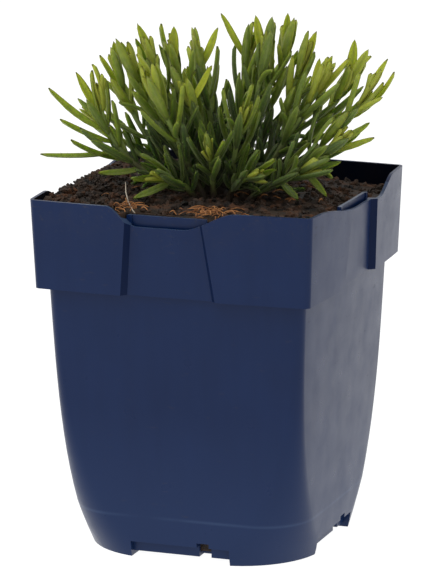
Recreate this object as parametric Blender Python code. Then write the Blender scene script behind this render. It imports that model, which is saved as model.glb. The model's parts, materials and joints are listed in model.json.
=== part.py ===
"""Potted heavenly blue lithodora: a square nursery pot, its peat, and the leafy stems that stand in it.

Lengths are metres. The origin is the centre of the pot's base, +Z is up and the pot's front faces -Y.
"""

import math
import random

import bmesh
import bpy
from mathutils import Matrix, Vector
from mathutils.bvhtree import BVHTree

MM = 0.001

# Points closer than this are one point
WELD = 0.001 * MM

# Pot, outside
RIM_HEIGHT = 111.5 * MM
RIM_HALF = 45.0 * MM
COLLAR_HEIGHT = 27.5 * MM
COLLAR_FOOT_HALF = 43.9 * MM
COLLAR_CORNER = 1.6 * MM
SHOULDER_HALF = 40.8 * MM
SHOULDER_CORNER = 3.0 * MM
CREASE_HEIGHT = 14.0 * MM
CREASE_HALF = 37.9 * MM
FOOT_HALF = 36.6 * MM
FOOT_CORNER = 25.0 * MM
WALL = 1.0 * MM
FLOOR = 2.7 * MM
LEDGE_HEIGHT = 6.2 * MM
LEDGE_INSET = 3.3 * MM
INNER_BEND = 38.0 * MM
SIDE_BOW_AT_RIM = 2.2 * MM
SIDE_BOW_AT_FOOT = 0.4 * MM
CORNER_STEPS = 5
LEAST_CORNER = 0.5 * MM
CORNER_POWER = 3.3
BODY_SECTIONS = (23.0 * MM, 36.0 * MM, 56.0 * MM)
OVERRUN = 5.0 * MM
QUARTER = math.radians(90)

# Recessed panel in the middle of each side of the collar. Its long end and its short end lie this far
# from the side's middle, at the collar's foot and at the rim. Every second side is mirrored.
PANEL_LONG = (15.5 * MM, 13.0 * MM)
PANEL_SHORT = (14.8 * MM, 10.7 * MM)
PANEL_STEP_SLOPE = 1.6 * MM
PANEL_FACE_AT_RIM = 43.2 * MM
PANEL_FACE_AT_FOOT = 42.0 * MM
PANEL_WIDENING = 1.5

# Label pocket behind each panel, and the tongue behind the pocket
POCKET_LONG = 12.2 * MM
POCKET_SHORT = 10.2 * MM
POCKET_FRONT = 42.0 * MM
POCKET_BACK = 41.1 * MM
POCKET_FOOT = 100.0 * MM
TONGUE_FACE = 40.1 * MM
TONGUE_HALF = 15.5 * MM
TONGUE_ROOT = 91.0 * MM
TONGUE_TOP = 108.6 * MM

# Scoops of the front and back, then of the left and right sides: depth, and where the slopes at their
# left and right ends start and end, from the side's middle
SCOOPS = (
    (6.2 * MM, (10.5 * MM, 19.5 * MM), (4.0 * MM, 22.0 * MM)),
    (4.8 * MM, (0.0, 38.0 * MM), (17.0 * MM, 31.0 * MM)),
)
SCOOP_STEPS = 24

# Notches, slots and drain holes of the base
NOTCH_HALF = 16.0 * MM
NOTCH_HEIGHT = 5.0 * MM
NOTCH_FACE = 34.7 * MM
RELIEF_HEIGHT = 1.5 * MM
RELIEF_REACH = 26.0 * MM
SLOT_FROM = 5.6 * MM
SLOT_TO = 9.5 * MM
SLOT_HEIGHT = 6.4 * MM
DRAIN_RADIUS = 3.0 * MM
DRAIN_OFFSET = 15.0 * MM
DRAIN_SIDES = 10

# Peat
GAP = 0.3 * MM
SOIL_EDGE_HEIGHT = 106.3 * MM
SOIL_DOME = 2.2 * MM
SOIL_LUMP = 0.7 * MM
SOIL_RISE_TO_LEFT = 0.06
SOIL_RISE_TO_FRONT = 0.03
SOIL_RING_EDGE = 0.82
# Waves of the peat's surface: radians for each millimetre along X and Y, phase, and share of the lumps
SOIL_WAVES = (
    (0.31, 0.27, 0.5, 0.5),
    (0.31, -0.27, 1.3, 0.5),
    (0.47, -0.36, 0.0, 0.7),
    (0.21, 0.62, 2.0, 0.5),
)
SOIL_RING_HALVES = (36.5 * MM, 29.5 * MM, 22.5 * MM, 15.5 * MM, 8.0 * MM)
SOIL_RING_CORNER = 0.5
SOIL_STEP_DROP = 0.9 * MM

# Leafy stems
PLANT_TURN = math.radians(20.3)
STEM_RADIUS = 1.0 * MM
TIP_RADIUS = 0.62 * MM
STEM_SIDES = 5
STEM_STEPS = 5
ROOT_DEPTH = 8.0 * MM
STEM_RISE = 1.2 * MM
STEM_LIFT = 3.0 * MM
HOLE_MARGIN = 0.45 * MM
HOLE_DEPTH_SPARE = 1.2 * MM
HOLE_SIDES = 6
GOLDEN_TURN = math.radians(137.5)
LEAF_LENGTH = 18.0 * MM
LEAF_WIDTH = 3.5 * MM
LEAF_KEEL = 0.72 * MM
LEAF_GROOVE = 0.18 * MM
LEAF_EDGE_LIFT = 0.5 * MM
LEAF_TIP_LIFT = 0.25 * MM
# Where the blade has cross-sections, as a share of its length, and how much of its full width each has
LEAF_STATIONS = ((0.28, 0.95), (0.78, 0.88))
CLEAR_OF_RIM = 2.0 * MM
CLEAR_OF_SOIL = 1.0 * MM
RIM_ZONE = 8.0 * MM
SOIL_ZONE = 3.0 * MM
LOWEST_LEAF = 0.14
HIGHEST_LEAF = 0.98
# Angle of the leaves from the stem, in degrees, at its foot and its tip, and how much it varies
SPREAD_LOW = 56.0
SPREAD_HIGH = 13.0
SPREAD_DRAW = 7.0
SPREAD_POWER = 1.2
TURN_DRAW = 0.25
TOWARDS_TIP = 0.75
TIP_LENGTH = 0.8
SHORTENING_POWER = 2
FREE_FROM = 0.2
FACE_FORWARD = 0.6
UPWARD = 0.32
# Upward curl of a leaf from root to tip, in degrees
CURL_LEAST = 6.0
CURL_MOST = 38.0
SIZE_DRAW = (0.86, 1.1)
# Below these a leaf counts as straight (radians), or as pointing along its stem
STRAIGHT = 0.0001
ALONG_STEM = 0.05
# A leaf that would cross something is turned about its stem, lifted (both in degrees) or shortened
TRY_TURNS = (0, 13, -13, 26, -26, 40, -40)
TRY_LIFTS = (0, -9, 9)
TRY_LENGTHS = (1.0, 0.86, 0.72)
SEED = 7

# One row for each leafy stem: foot (across, forward), tip (across, forward, height), bend of the
# middle (across, forward, up), leaves, and size of its leaves. The plant's own "across" and
# "forward" are the pot's X and -Y turned by PLANT_TURN. In millimetres.
SHOOTS = (
    ((-11, 7), (-36.5, 8, 139.5), (-12, 1, -9), 12, 1.0),
    ((-8.5, 2.5), (-31, 3, 145), (-6, 0, -4), 12, 1.0),
    ((-6, 6), (-26.5, 6, 147.5), (-3, 0, -1), 12, 1.0),
    ((-4.5, 2), (-21, 0, 150), (-2, 0, 1), 12, 1.0),
    ((-5, 11), (-19.5, 15, 142), (-2, 2, 1), 12, 1.02),
    ((-2.5, -2), (-14.5, -4, 149), (-1, 0, 1), 12, 1.0),
    ((0.5, -5), (-6.5, -7, 149), (0, 0, 1), 12, 1.0),
    ((-0.5, 4.5), (-10, 8, 137.5), (1, 0, 0), 10, 1.0),
    ((4, -1.5), (8.5, -4, 150), (0, 0, 1), 12, 1.0),
    ((5.5, 3.5), (14, 2, 152.5), (1, 0, 1), 12, 1.0),
    ((8.5, -2.5), (20.5, -4, 151), (1.5, 0, 1), 12, 1.0),
    ((10, 1.5), (25.5, 1, 148), (1.5, 0, 1), 11, 1.0),
    ((3.5, 9.5), (6.5, 16, 132), (-1, 1, 1), 11, 1.0),
    ((9.5, 5.5), (31, 5, 142), (2, 1, 1), 11, 1.0),
    ((7, 11), (45, 7, 140), (4, 3, -9), 11, 0.95),
    ((12, 7), (34, 14, 124.5), (1, 1, -3), 10, 0.95),
    ((12.5, -3.5), (41, -2, 143.5), (3, 0, -4), 12, 1.0),
    ((9, 15.5), (25, 20, 118), (1, 1, -1), 8, 0.85),
    ((3, 15), (9, 25, 117), (0, 1, 0), 8, 0.85),
    ((-2, 13), (-3, 20, 122), (0, 1, 1), 10, 0.92),
    ((-8, 12.5), (-15.5, 18.5, 115.5), (0, 1, 0), 8, 0.9),
    ((-7.5, -8), (-23, -20, 138), (-1, -1, 0), 10, 1.0),
    ((-1.5, -10), (-6, -24, 139), (0, -1, 1), 10, 1.0),
    ((4.5, -8), (14, -22, 140), (1, -1, 1), 10, 1.0),
    ((10.5, -9), (29, -19, 136), (1, -1, -1), 10, 1.0),
    ((-11.5, -3), (-36, -11, 127), (-2, -1, -2), 9, 0.95),
    ((-4, -14.5), (-13, -34, 123), (0, -2, -2), 9, 0.95),
    ((3, -14), (10, -36, 124), (1, -2, -2), 9, 0.95),
)

# Side leaves that stand out alone: number of the shoot, how far up it, tip (across, forward, height),
# width and curl. In millimetres and degrees.
MARKED_LEAVES = (
    (1, 0.3, (-37.5, 5, 115.5), 3.4, 20),
    (1, 0.42, (-45.5, 11, 127), 2.8, 45),
    (1, 0.52, (-55, 8, 122), 2.4, 25),
    (1, 0.6, (-48.8, 9, 133), 3.0, 30),
    (1, 0.7, (-52.2, 8, 142.5), 3.4, 40),
    (1, 0.82, (-43.9, 6, 147), 3.4, 15),
    (2, 0.95, (-32.4, 3, 156), 3.4, 8),
    (3, 0.95, (-28, 6, 156.5), 3.4, 8),
    (6, 0.95, (-14, -4, 159.5), 3.4, 8),
    (7, 0.9, (-0.5, -7, 158.5), 3.2, 12),
    (8, 0.95, (-2.5, 10, 149.5), 3.2, 15),
    (9, 0.96, (0.5, -3, 163.5), 3.0, 10),
    (10, 0.92, (11, 1, 163.5), 3.4, 8),
    (11, 0.95, (21, -4, 163.5), 3.2, 10),
    (14, 0.95, (34.3, 5, 151.5), 3.2, 20),
    (14, 0.84, (30.6, 3, 150.5), 3.0, 10),
    (15, 0.8, (53.1, 8, 147), 2.4, 70),
    (15, 0.9, (51.3, 5, 150.5), 3.0, 8),
    (16, 0.9, (47.1, 10, 127), 3.4, 20),
    (16, 0.55, (32.5, 15, 109.5), 3.0, -15),
    (17, 0.95, (41.5, -2, 155.5), 3.4, 8),
    (18, 0.55, (23.5, 26, 111), 3.0, 10),
    (21, 0.8, (-26.4, 22, 110.8), 3.6, 10),
)

POT_COLOUR = (0.014, 0.034, 0.092, 1.0)
POT_ROUGHNESS = 0.4
SOIL_COLOUR = (0.028, 0.018, 0.013, 1.0)
SOIL_ROUGHNESS = 0.95
LEAF_COLOUR = (0.085, 0.15, 0.022, 1.0)
LEAF_ROUGHNESS = 0.5


def clear_scene():
    for obj in list(bpy.data.objects):
        bpy.data.objects.remove(obj, do_unlink=True)


def material(name, colour, roughness):
    mat = bpy.data.materials.new(name)
    mat.use_nodes = True
    shader = mat.node_tree.nodes["Principled BSDF"]
    shader.inputs["Base Color"].default_value = colour
    shader.inputs["Roughness"].default_value = roughness
    shader.inputs["Metallic"].default_value = 0.0
    return mat


def object_from(bm, name):
    """A new object that holds this bmesh, linked to the scene."""
    mesh = bpy.data.meshes.new(name)
    bm.to_mesh(mesh)
    bm.free()
    obj = bpy.data.objects.new(name, mesh)
    bpy.context.scene.collection.objects.link(obj)
    return obj


def blend(low, high, share):
    return low + (high - low) * share


# Pot outline


def shoulder_height():
    return RIM_HEIGHT - COLLAR_HEIGHT


def body_half(height):
    """Half width of the wall, without its bow: a straight taper below the crease, a gentler one above it."""
    if height < CREASE_HEIGHT:
        return blend(FOOT_HALF, CREASE_HALF, height / CREASE_HEIGHT)
    if height < shoulder_height():
        share = (height - CREASE_HEIGHT) / (shoulder_height() - CREASE_HEIGHT)
        return blend(CREASE_HALF, SHOULDER_HALF, share)
    return blend(SHOULDER_HALF, PANEL_FACE_AT_RIM, collar_share(height))


def body_corner(height):
    """Radius of the wall's corners, wide at the foot and tight at the shoulder."""
    share = max(0.0, 1.0 - height / shoulder_height())
    return SHOULDER_CORNER + (FOOT_CORNER - SHOULDER_CORNER) * share**CORNER_POWER


def outline(height, half, corner, recess, ends, slope):
    """One closed outline at this height: a rounded square with a recess in the middle of each side.

    ends is how far the recess reaches towards the long and the short end of its side.
    """
    flat = half - corner
    long_end, short_end = ends
    side = [
        (-0.5 * (flat + long_end), 0.0),
        (-long_end, 0.0),
        (slope - long_end, recess),
        (0.0, recess),
        (short_end - slope, recess),
        (short_end, 0.0),
        (0.5 * (flat + short_end), 0.0),
    ]
    mirrored = [(-along, inward) for along, inward in reversed(side)]
    points = []
    for quarter in range(4):
        turn = Matrix.Rotation(QUARTER * quarter, 4, "Z")
        for along, inward in mirrored if quarter % 2 else side:
            points.append(turn @ Vector((along, inward - half, height)))
        for step in range(CORNER_STEPS + 1):
            angle = QUARTER * (step / CORNER_STEPS - 1)
            place = (flat + corner * math.cos(angle), corner * math.sin(angle) - flat, height)
            points.append(turn @ Vector(place))
    return points


def body_outline(height, inset):
    """An outline of the wall below the collar, with points that line up with the collar's."""
    half = body_half(height) - inset
    corner = body_corner(height) - inset
    share = min(1.0, (half - corner) / (SHOULDER_HALF - SHOULDER_CORNER))
    ends = [end * share for end in panel_ends(height, inset)]
    return outline(height, half, corner, 0.0, ends, step_slope(ends))


def collar_share(height):
    return max(0.0, (height - shoulder_height()) / COLLAR_HEIGHT)


def panel_ends(height, inset):
    """How far the middle panel reaches each way, a little more on the inside of the wall."""
    share = collar_share(height)
    wider = PANEL_WIDENING * inset
    return [blend(at_foot, at_rim, share) + wider for at_foot, at_rim in (PANEL_LONG, PANEL_SHORT)]


def step_slope(ends):
    """Width of the sloped step round a panel that reaches this far."""
    return PANEL_STEP_SLOPE * ends[0] / PANEL_LONG[0]


def collar_outline(height, inset, face=None):
    """An outline of the collar. face is where the middle panel's surface lies, if not at the wall's."""
    half = blend(COLLAR_FOOT_HALF, RIM_HALF, collar_share(height)) - inset
    corner = max(COLLAR_CORNER - inset, LEAST_CORNER)
    ends = panel_ends(height, inset)
    panel = body_half(height) - inset if face is None else face
    return outline(height, half, corner, half - panel, ends, step_slope(ends))


def loft(outlines, closed_top=True):
    """A closed skin through outlines that all have the same number of points."""
    bm = bmesh.new()
    rings = [[bm.verts.new(point) for point in points] for points in outlines]
    for lower, upper in zip(rings, rings[1:]):
        for i in range(len(lower)):
            j = (i + 1) % len(lower)
            bm.faces.new((lower[i], lower[j], upper[j], upper[i]))
    bm.faces.new(reversed(rings[0]))
    if closed_top:
        bm.faces.new(rings[-1])
    bmesh.ops.remove_doubles(bm, verts=bm.verts, dist=WELD)
    bmesh.ops.dissolve_degenerate(bm, edges=bm.edges, dist=WELD)
    bmesh.ops.triangulate(bm, faces=[face for face in bm.faces if len(face.verts) > 4])
    bmesh.ops.recalc_face_normals(bm, faces=bm.faces)
    return bm


def box(low, high):
    """A plain box between two corners."""
    bm = bmesh.new()
    size = Vector(high) - Vector(low)
    middle = (Vector(high) + Vector(low)) / 2
    bmesh.ops.create_cube(bm, size=1.0, matrix=Matrix.Translation(middle) @ Matrix.Diagonal(size.to_4d()))
    return bm


def scoop_dip(across, scoop):
    """How far this scoop lowers the rim here, with a smooth slope at each end."""
    depth, left_slope, right_slope = scoop
    start, end = left_slope if across < 0 else right_slope
    share = min(1.0, max(0.0, (abs(across) - start) / (end - start)))
    return depth * (1 - share * share * (3 - 2 * share))


def scoop_cutter(scoop):
    """What the scoop takes out of the rim, drawn as its curve and extruded through the front lip."""
    bm = bmesh.new()
    above = RIM_HEIGHT + OVERRUN
    near = -(POCKET_FRONT + POCKET_BACK) / 2
    far = -RIM_HALF - 2 * OVERRUN
    _, left_slope, right_slope = scoop
    left, right = -left_slope[1], right_slope[1]
    curve = [(right, above), (left, above)]
    for step in range(SCOOP_STEPS + 1):
        across = blend(left, right, step / SCOOP_STEPS)
        curve.append((across, RIM_HEIGHT - scoop_dip(across, scoop)))
    face = bm.faces.new([bm.verts.new((across, far, height)) for across, height in curve])
    swept = bmesh.ops.extrude_face_region(bm, geom=[face])
    moved = [item for item in swept["geom"] if isinstance(item, bmesh.types.BMVert)]
    bmesh.ops.translate(bm, verts=moved, vec=(0, near - far, 0))
    bmesh.ops.recalc_face_normals(bm, faces=bm.faces)
    return bm


def side_cutters(mirrored):
    """Everything cut from one side, as if it were the front. The left and right sides are mirrored."""
    over = RIM_HEIGHT + OVERRUN
    under = -OVERRUN
    outside = -RIM_HALF - 2 * OVERRUN
    middle = -(POCKET_FRONT + POCKET_BACK) / 2
    left, right = (-POCKET_SHORT, POCKET_LONG) if mirrored else (-POCKET_LONG, POCKET_SHORT)
    notch = ((-NOTCH_HALF, outside, under), (NOTCH_HALF, -NOTCH_FACE, NOTCH_HEIGHT))
    relief = ((-NOTCH_HALF, outside, under), (NOTCH_HALF, -RELIEF_REACH, RELIEF_HEIGHT))
    slot = ((SLOT_FROM, outside, under), (SLOT_TO, -RELIEF_REACH, SLOT_HEIGHT))
    pocket = ((left, -POCKET_FRONT, POCKET_FOOT), (right, -POCKET_BACK, over))
    top = ((-TONGUE_HALF, middle, TONGUE_TOP), (TONGUE_HALF, -TONGUE_FACE + OVERRUN, over))
    boxes = [box(*corners) for corners in (pocket, top, notch, relief, slot)]
    return [scoop_cutter(SCOOPS[mirrored])] + boxes


def drain_cutter(angle):
    bm = bmesh.new()
    reach = DRAIN_OFFSET * math.sqrt(2)
    place = Matrix.Translation((reach * math.cos(angle), reach * math.sin(angle), 0))
    bmesh.ops.create_cone(
        bm,
        cap_ends=True,
        segments=DRAIN_SIDES,
        radius1=DRAIN_RADIUS,
        radius2=DRAIN_RADIUS,
        depth=2 * (FLOOR + OVERRUN),
        matrix=place,
    )
    return bm


def apply_boolean(obj, helpers, operation, solver):
    """Joins the helpers to this object, or cuts them from it, and removes them."""
    group = bpy.data.collections.new(obj.name + "_helpers")
    bpy.context.scene.collection.children.link(group)
    for helper in helpers:
        bpy.context.scene.collection.objects.unlink(helper)
        group.objects.link(helper)
    modifier = obj.modifiers.new("join", "BOOLEAN")
    modifier.operation = operation
    modifier.operand_type = "COLLECTION"
    modifier.collection = group
    modifier.solver = solver
    bpy.context.view_layer.objects.active = obj
    bpy.ops.object.modifier_apply(modifier=modifier.name)
    for helper in helpers:
        bpy.data.objects.remove(helper, do_unlink=True)
    bpy.data.collections.remove(group)


def bow_sides(obj):
    """Bows each side outwards in the middle, as full pots do, and leaves the corners where they are."""
    for vert in obj.data.vertices:
        x, y, z = vert.co
        bow = blend(SIDE_BOW_AT_FOOT, SIDE_BOW_AT_RIM, z / RIM_HEIGHT) / RIM_HALF
        vert.co.x = x * (1 + bow * (1 - (y / RIM_HALF) ** 2))
        vert.co.y = y * (1 + bow * (1 - (x / RIM_HALF) ** 2))


def make_pot():
    shoulder = shoulder_height()
    ledge = shoulder + WALL
    body_heights = (0.0, CREASE_HEIGHT, *BODY_SECTIONS, shoulder)
    skin = [body_outline(height, 0.0) for height in body_heights]
    skin.append(collar_outline(shoulder, 0.0, PANEL_FACE_AT_FOOT))
    skin.append(collar_outline(RIM_HEIGHT, 0.0, PANEL_FACE_AT_RIM))
    skin += [collar_outline(height, WALL, TONGUE_FACE) for height in (RIM_HEIGHT, POCKET_FOOT)]
    skin += [collar_outline(height, WALL) for height in (TONGUE_ROOT, ledge)]
    skin += [body_outline(height, WALL) for height in (ledge, INNER_BEND, CREASE_HEIGHT, LEDGE_HEIGHT)]
    skin += [body_outline(height, LEDGE_INSET) for height in (LEDGE_HEIGHT, FLOOR)]
    pot = object_from(loft(skin), "pot")
    cutters = []
    for quarter in range(4):
        for index, cutter in enumerate(side_cutters(quarter % 2)):
            helper = object_from(cutter, f"pot_cutter_{quarter}_{index}")
            helper.data.transform(Matrix.Rotation(QUARTER * quarter, 4, "Z"))
            cutters.append(helper)
        cutters.append(object_from(drain_cutter(QUARTER * (quarter + 0.5)), f"pot_drain_{quarter}"))
    apply_boolean(pot, cutters, "DIFFERENCE", "EXACT")
    bow_sides(pot)
    pot.data.materials.append(material("navy plastic", POT_COLOUR, POT_ROUGHNESS))
    return pot


# Peat


def soil_height(x, y):
    """Height of the peat: a low dome with lumps, heaped a little towards the left and the front."""
    dome = SOIL_DOME * (1 - (x * x + y * y) / RIM_HALF**2)
    heap = SOIL_RISE_TO_LEFT * max(0.0, -x) + SOIL_RISE_TO_FRONT * max(0.0, -y)
    lumps = 0.0
    for across, along, phase, share in SOIL_WAVES:
        lumps += share * math.sin((across * x + along * y) / MM + phase)
    return SOIL_EDGE_HEIGHT + dome + heap + SOIL_LUMP * lumps


def make_soil():
    """Fills the pot's inside with peat, a gap clear of its wall, up to a lumpy top."""
    shoulder = shoulder_height()
    inset = WALL + GAP
    step = LEDGE_HEIGHT + GAP
    ledge = shoulder + inset
    tongue = TONGUE_FACE - GAP
    skin = [body_outline(height, LEDGE_INSET + GAP) for height in (FLOOR + GAP, step)]
    skin += [body_outline(height, inset) for height in (step, CREASE_HEIGHT, INNER_BEND, ledge)]
    skin += [collar_outline(height, inset) for height in (ledge, TONGUE_ROOT - SOIL_STEP_DROP)]
    skin.append(collar_outline(POCKET_FOOT - SOIL_STEP_DROP, inset, tongue))
    top = [collar_outline(SOIL_EDGE_HEIGHT, inset, tongue)]
    for half in SOIL_RING_HALVES:
        corner = SOIL_RING_CORNER * half
        end = SOIL_RING_EDGE * (half - corner)
        top.append(outline(0.0, half, corner, 0.0, (end, end), PANEL_STEP_SLOPE))
    skin += [[Vector((p.x, p.y, soil_height(p.x, p.y))) for p in ring] for ring in top]
    soil = object_from(loft(skin), "soil")
    bow_sides(soil)
    soil.data.materials.append(material("peat", SOIL_COLOUR, SOIL_ROUGHNESS))
    return soil


def cut_stem_holes(soil, paths):
    """A plain round hole in the peat for each stem."""
    holes = []
    for number, path in enumerate(paths):
        bm = bmesh.new()
        foot = path[0]
        depth = 2 * ROOT_DEPTH + HOLE_DEPTH_SPARE
        middle = Matrix.Translation((foot.x, foot.y, foot.z - GAP + depth / 2))
        radius = (STEM_RADIUS + HOLE_MARGIN) / math.cos(math.pi / HOLE_SIDES)
        bmesh.ops.create_cone(
            bm, cap_ends=True, segments=HOLE_SIDES, radius1=radius, radius2=radius, depth=depth, matrix=middle
        )
        holes.append(object_from(bm, f"stem_hole_{number}"))
    apply_boolean(soil, holes, "DIFFERENCE", "EXACT")


# Leafy stems


def plant_point(across, forward, height):
    """A place on the plant, in the pot's frame."""
    point = Vector((across * MM, -forward * MM, height))
    return Matrix.Rotation(PLANT_TURN, 3, "Z") @ point


def stem_path(foot, tip, bend):
    """The stem's centre line: upright out of the peat, then one curve to its tip."""
    ground = plant_point(foot[0], foot[1], 0.0)
    surface = soil_height(ground.x, ground.y)
    start = Vector((ground.x, ground.y, surface + STEM_RISE))
    end = plant_point(tip[0], tip[1], tip[2] * MM)
    lean = plant_point(bend[0], bend[1], bend[2] * MM)
    control = (start + end) / 2 + Vector((0, 0, STEM_LIFT)) + lean
    path = [Vector((ground.x, ground.y, surface - ROOT_DEPTH)), start]
    for step in range(1, STEM_STEPS + 1):
        share = step / STEM_STEPS
        path.append(curve_point(start, control, end, share))
    return path, (start, control, end)


def curve_point(start, control, end, share):
    near = start.lerp(control, share)
    return near.lerp(control.lerp(end, share), share)


def curve_direction(start, control, end, share):
    return (control - start).lerp(end - control, share).normalized()


def tube(path, radii, sides):
    """A closed tube along a path, with a pointed top."""
    bm = bmesh.new()
    rings = []
    across = Vector((1, 0, 0))
    for index, point in enumerate(path[:-1]):
        ahead = path[index + 1] - path[max(index - 1, 0)]
        ahead.normalize()
        across = (across - ahead * across.dot(ahead)).normalized()
        side = ahead.cross(across)
        ring = []
        for corner in range(sides):
            angle = 2 * math.pi * corner / sides
            offset = across * math.cos(angle) + side * math.sin(angle)
            ring.append(bm.verts.new(point + offset * radii[index]))
        rings.append(ring)
    for lower, upper in zip(rings, rings[1:]):
        for i in range(sides):
            j = (i + 1) % sides
            bm.faces.new((lower[i], lower[j], upper[j], upper[i]))
    bm.faces.new(reversed(rings[0]))
    top = bm.verts.new(path[-1])
    for i in range(sides):
        bm.faces.new((rings[-1][i], rings[-1][(i + 1) % sides], top))
    bmesh.ops.triangulate(bm, faces=bm.faces)
    return bm


class Leaf:
    """A leaf's own frame: where it starts, where it points, its upper side, length, width and curl."""

    def __init__(self, root, heading, upper, length, width, curl):
        self.root = root
        self.heading = heading
        self.upper = upper
        self.length = length
        self.width = width
        self.curl = curl

    def station(self, share):
        """Centre, sideways direction and upper side at this share of the leaf's length."""
        turn = self.curl * share
        if abs(self.curl) < STRAIGHT:
            travel = self.heading * share
        else:
            travel = (self.heading * math.sin(turn) + self.upper * (1 - math.cos(turn))) / self.curl
        heading = self.heading * math.cos(turn) + self.upper * math.sin(turn)
        upper = self.upper * math.cos(turn) - self.heading * math.sin(turn)
        return self.root + travel * self.length, heading.cross(upper), upper

    def corners(self, grown=0.0, start=0.0):
        """Corner points of the blade: its root, each station and its tip. grown makes it bigger all round."""
        points = [self.station(start)[0]]
        for share, fullness in LEAF_STATIONS:
            centre, side, upper = self.station(share)
            half = self.width * fullness / 2 + grown
            points.append(centre - side * half + upper * LEAF_EDGE_LIFT)
            points.append(centre - upper * (LEAF_KEEL + grown))
            points.append(centre + side * half + upper * LEAF_EDGE_LIFT)
            points.append(centre + upper * (LEAF_GROOVE + grown))
        tip, _, upper = self.station(1.0 + grown / self.length)
        points.append(tip + upper * LEAF_TIP_LIFT)
        return points


def leaf_faces():
    """Corner numbers of the blade's faces, in the order that Leaf.corners gives the corners."""
    faces = []
    last = 4 * len(LEAF_STATIONS) - 3
    for i in range(4):
        j = (i + 1) % 4
        faces.append((0, 1 + j, 1 + i))
        for first in range(1, last, 4):
            faces.append((first + i, first + j, first + 4 + j))
            faces.append((first + i, first + 4 + j, first + 4 + i))
        faces.append((last + i, last + j, last + 4))
    return faces


LEAF_FACES = leaf_faces()
TRIES = tuple(
    (math.radians(turn), lift, stretch)
    for stretch in TRY_LENGTHS
    for lift in TRY_LIFTS
    for turn in TRY_TURNS
)


def tree_of(points, faces):
    return BVHTree.FromPolygons(points, faces, all_triangles=True)


def stands_clear(points):
    """Whether these points lie above the peat and clear of the pot's rim."""
    for p in points:
        out = max(abs(p.x), abs(p.y))
        if out < RIM_HALF - SOIL_ZONE and p.z < soil_height(p.x, p.y) + CLEAR_OF_SOIL:
            return False
        if out >= RIM_HALF - RIM_ZONE and p.z < RIM_HEIGHT + CLEAR_OF_RIM:
            return False
    return True


class Planting:
    """Grows the leaves of every stem in turn, each where it crosses nothing that stands already."""

    def __init__(self):
        self.draw = random.Random(SEED)
        self.stems = [stem_path(*row[:3]) for row in SHOOTS]
        self.obstacles = []
        for owner, (path, _) in enumerate(self.stems):
            self.add_obstacle(owner, *tube_shape(path))
        self.marked = [[] for _ in SHOOTS]
        for owner, at, tip, width, curl in MARKED_LEAVES:
            root = curve_point(*self.stems[owner - 1][1], at)
            end = plant_point(tip[0], tip[1], tip[2] * MM)
            leaf = marked_leaf(root, end, width * MM, math.radians(curl))
            self.marked[owner - 1].append(leaf)
            self.add_obstacle(owner - 1, leaf.corners(), LEAF_FACES)

    def add_obstacle(self, owner, points, faces):
        middle = sum(points, Vector()) / len(points)
        reach = max((point - middle).length for point in points)
        self.obstacles.append((owner, middle, reach, tree_of(points, faces)))

    def blocked(self, owner, leaf):
        """Whether the leaf crosses another stem or its leaves, or the free part of a leaf of its own."""
        own_stem = self.obstacles[owner][3]
        wide = leaf.corners(grown=GAP)
        free = leaf.corners(start=FREE_FROM)
        middle = sum(wide, Vector()) / len(wide)
        reach = max((point - middle).length for point in wide)
        tests = {True: tree_of(free, LEAF_FACES), False: tree_of(wide, LEAF_FACES)}
        for other, centre, radius, tree in self.obstacles:
            if (centre - middle).length > reach + radius:
                continue
            if tree is own_stem:
                continue
            if tests[other == owner].overlap(tree):
                return True
        return not stands_clear(wide[1:])

    def grow(self, owner):
        """The leaves of one stem, from its foot to its tip."""
        _, _, _, count, size = SHOOTS[owner]
        _, curve = self.stems[owner]
        phase = self.draw.uniform(0, 2 * math.pi)
        leaves = self.marked[owner]
        for index in range(count):
            share = index / (count - 1)
            at = blend(LOWEST_LEAF, HIGHEST_LEAF, share**TOWARDS_TIP)
            axis = curve_direction(*curve, at)
            spread = blend(SPREAD_LOW, SPREAD_HIGH, share**SPREAD_POWER)
            spread += self.draw.uniform(-SPREAD_DRAW, SPREAD_DRAW)
            around = phase + index * GOLDEN_TURN + self.draw.uniform(-TURN_DRAW, TURN_DRAW)
            shortening = blend(1.0, TIP_LENGTH, share**SHORTENING_POWER)
            length = LEAF_LENGTH * size * shortening * self.draw.uniform(*SIZE_DRAW)
            width = LEAF_WIDTH * size * self.draw.uniform(*SIZE_DRAW)
            curl = math.radians(self.draw.uniform(CURL_LEAST, CURL_MOST))
            root = curve_point(*curve, at)
            for turn, lift, stretch in TRIES:
                angle = math.radians(spread + lift)
                leaf = leaf_on(root, axis, angle, around + turn, length * stretch, width, curl)
                if not self.blocked(owner, leaf):
                    leaves.append(leaf)
                    self.add_obstacle(owner, leaf.corners(), LEAF_FACES)
                    break
        return leaves


def leaf_on(root, axis, spread, around, length, width, curl):
    """A leaf at this place on a stem that runs along axis: spread is its angle from the stem."""
    out = axis.orthogonal().normalized()
    out.rotate(Matrix.Rotation(around, 3, axis))
    heading = axis * math.cos(spread) + out * math.sin(spread) + Vector((0, 0, UPWARD))
    heading.normalize()
    upper = axis - heading * axis.dot(heading)
    if upper.length < ALONG_STEM:
        upper = Vector((0, 0, 1)) - heading * heading.z
    return Leaf(root, heading, upper.normalized(), length, width, curl)


def marked_leaf(root, tip, width, curl):
    """A leaf from this root to this tip, its upper side turned up and a little forward."""
    chord = tip - root
    faced = plant_point(0.0, FACE_FORWARD, MM)
    upper = (faced - chord * (chord.dot(faced) / chord.length_squared)).normalized()
    half = curl / 2
    heading = chord.normalized() * math.cos(half) - upper * math.sin(half)
    upper = upper * math.cos(half) + chord.normalized() * math.sin(half)
    return Leaf(root, heading, upper, chord.length * half / math.sin(half), width, curl)


def stem_radii(path):
    last = len(path) - 1
    return [blend(STEM_RADIUS, TIP_RADIUS, max(0, index - 1) / (last - 1)) for index in range(len(path))]


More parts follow.
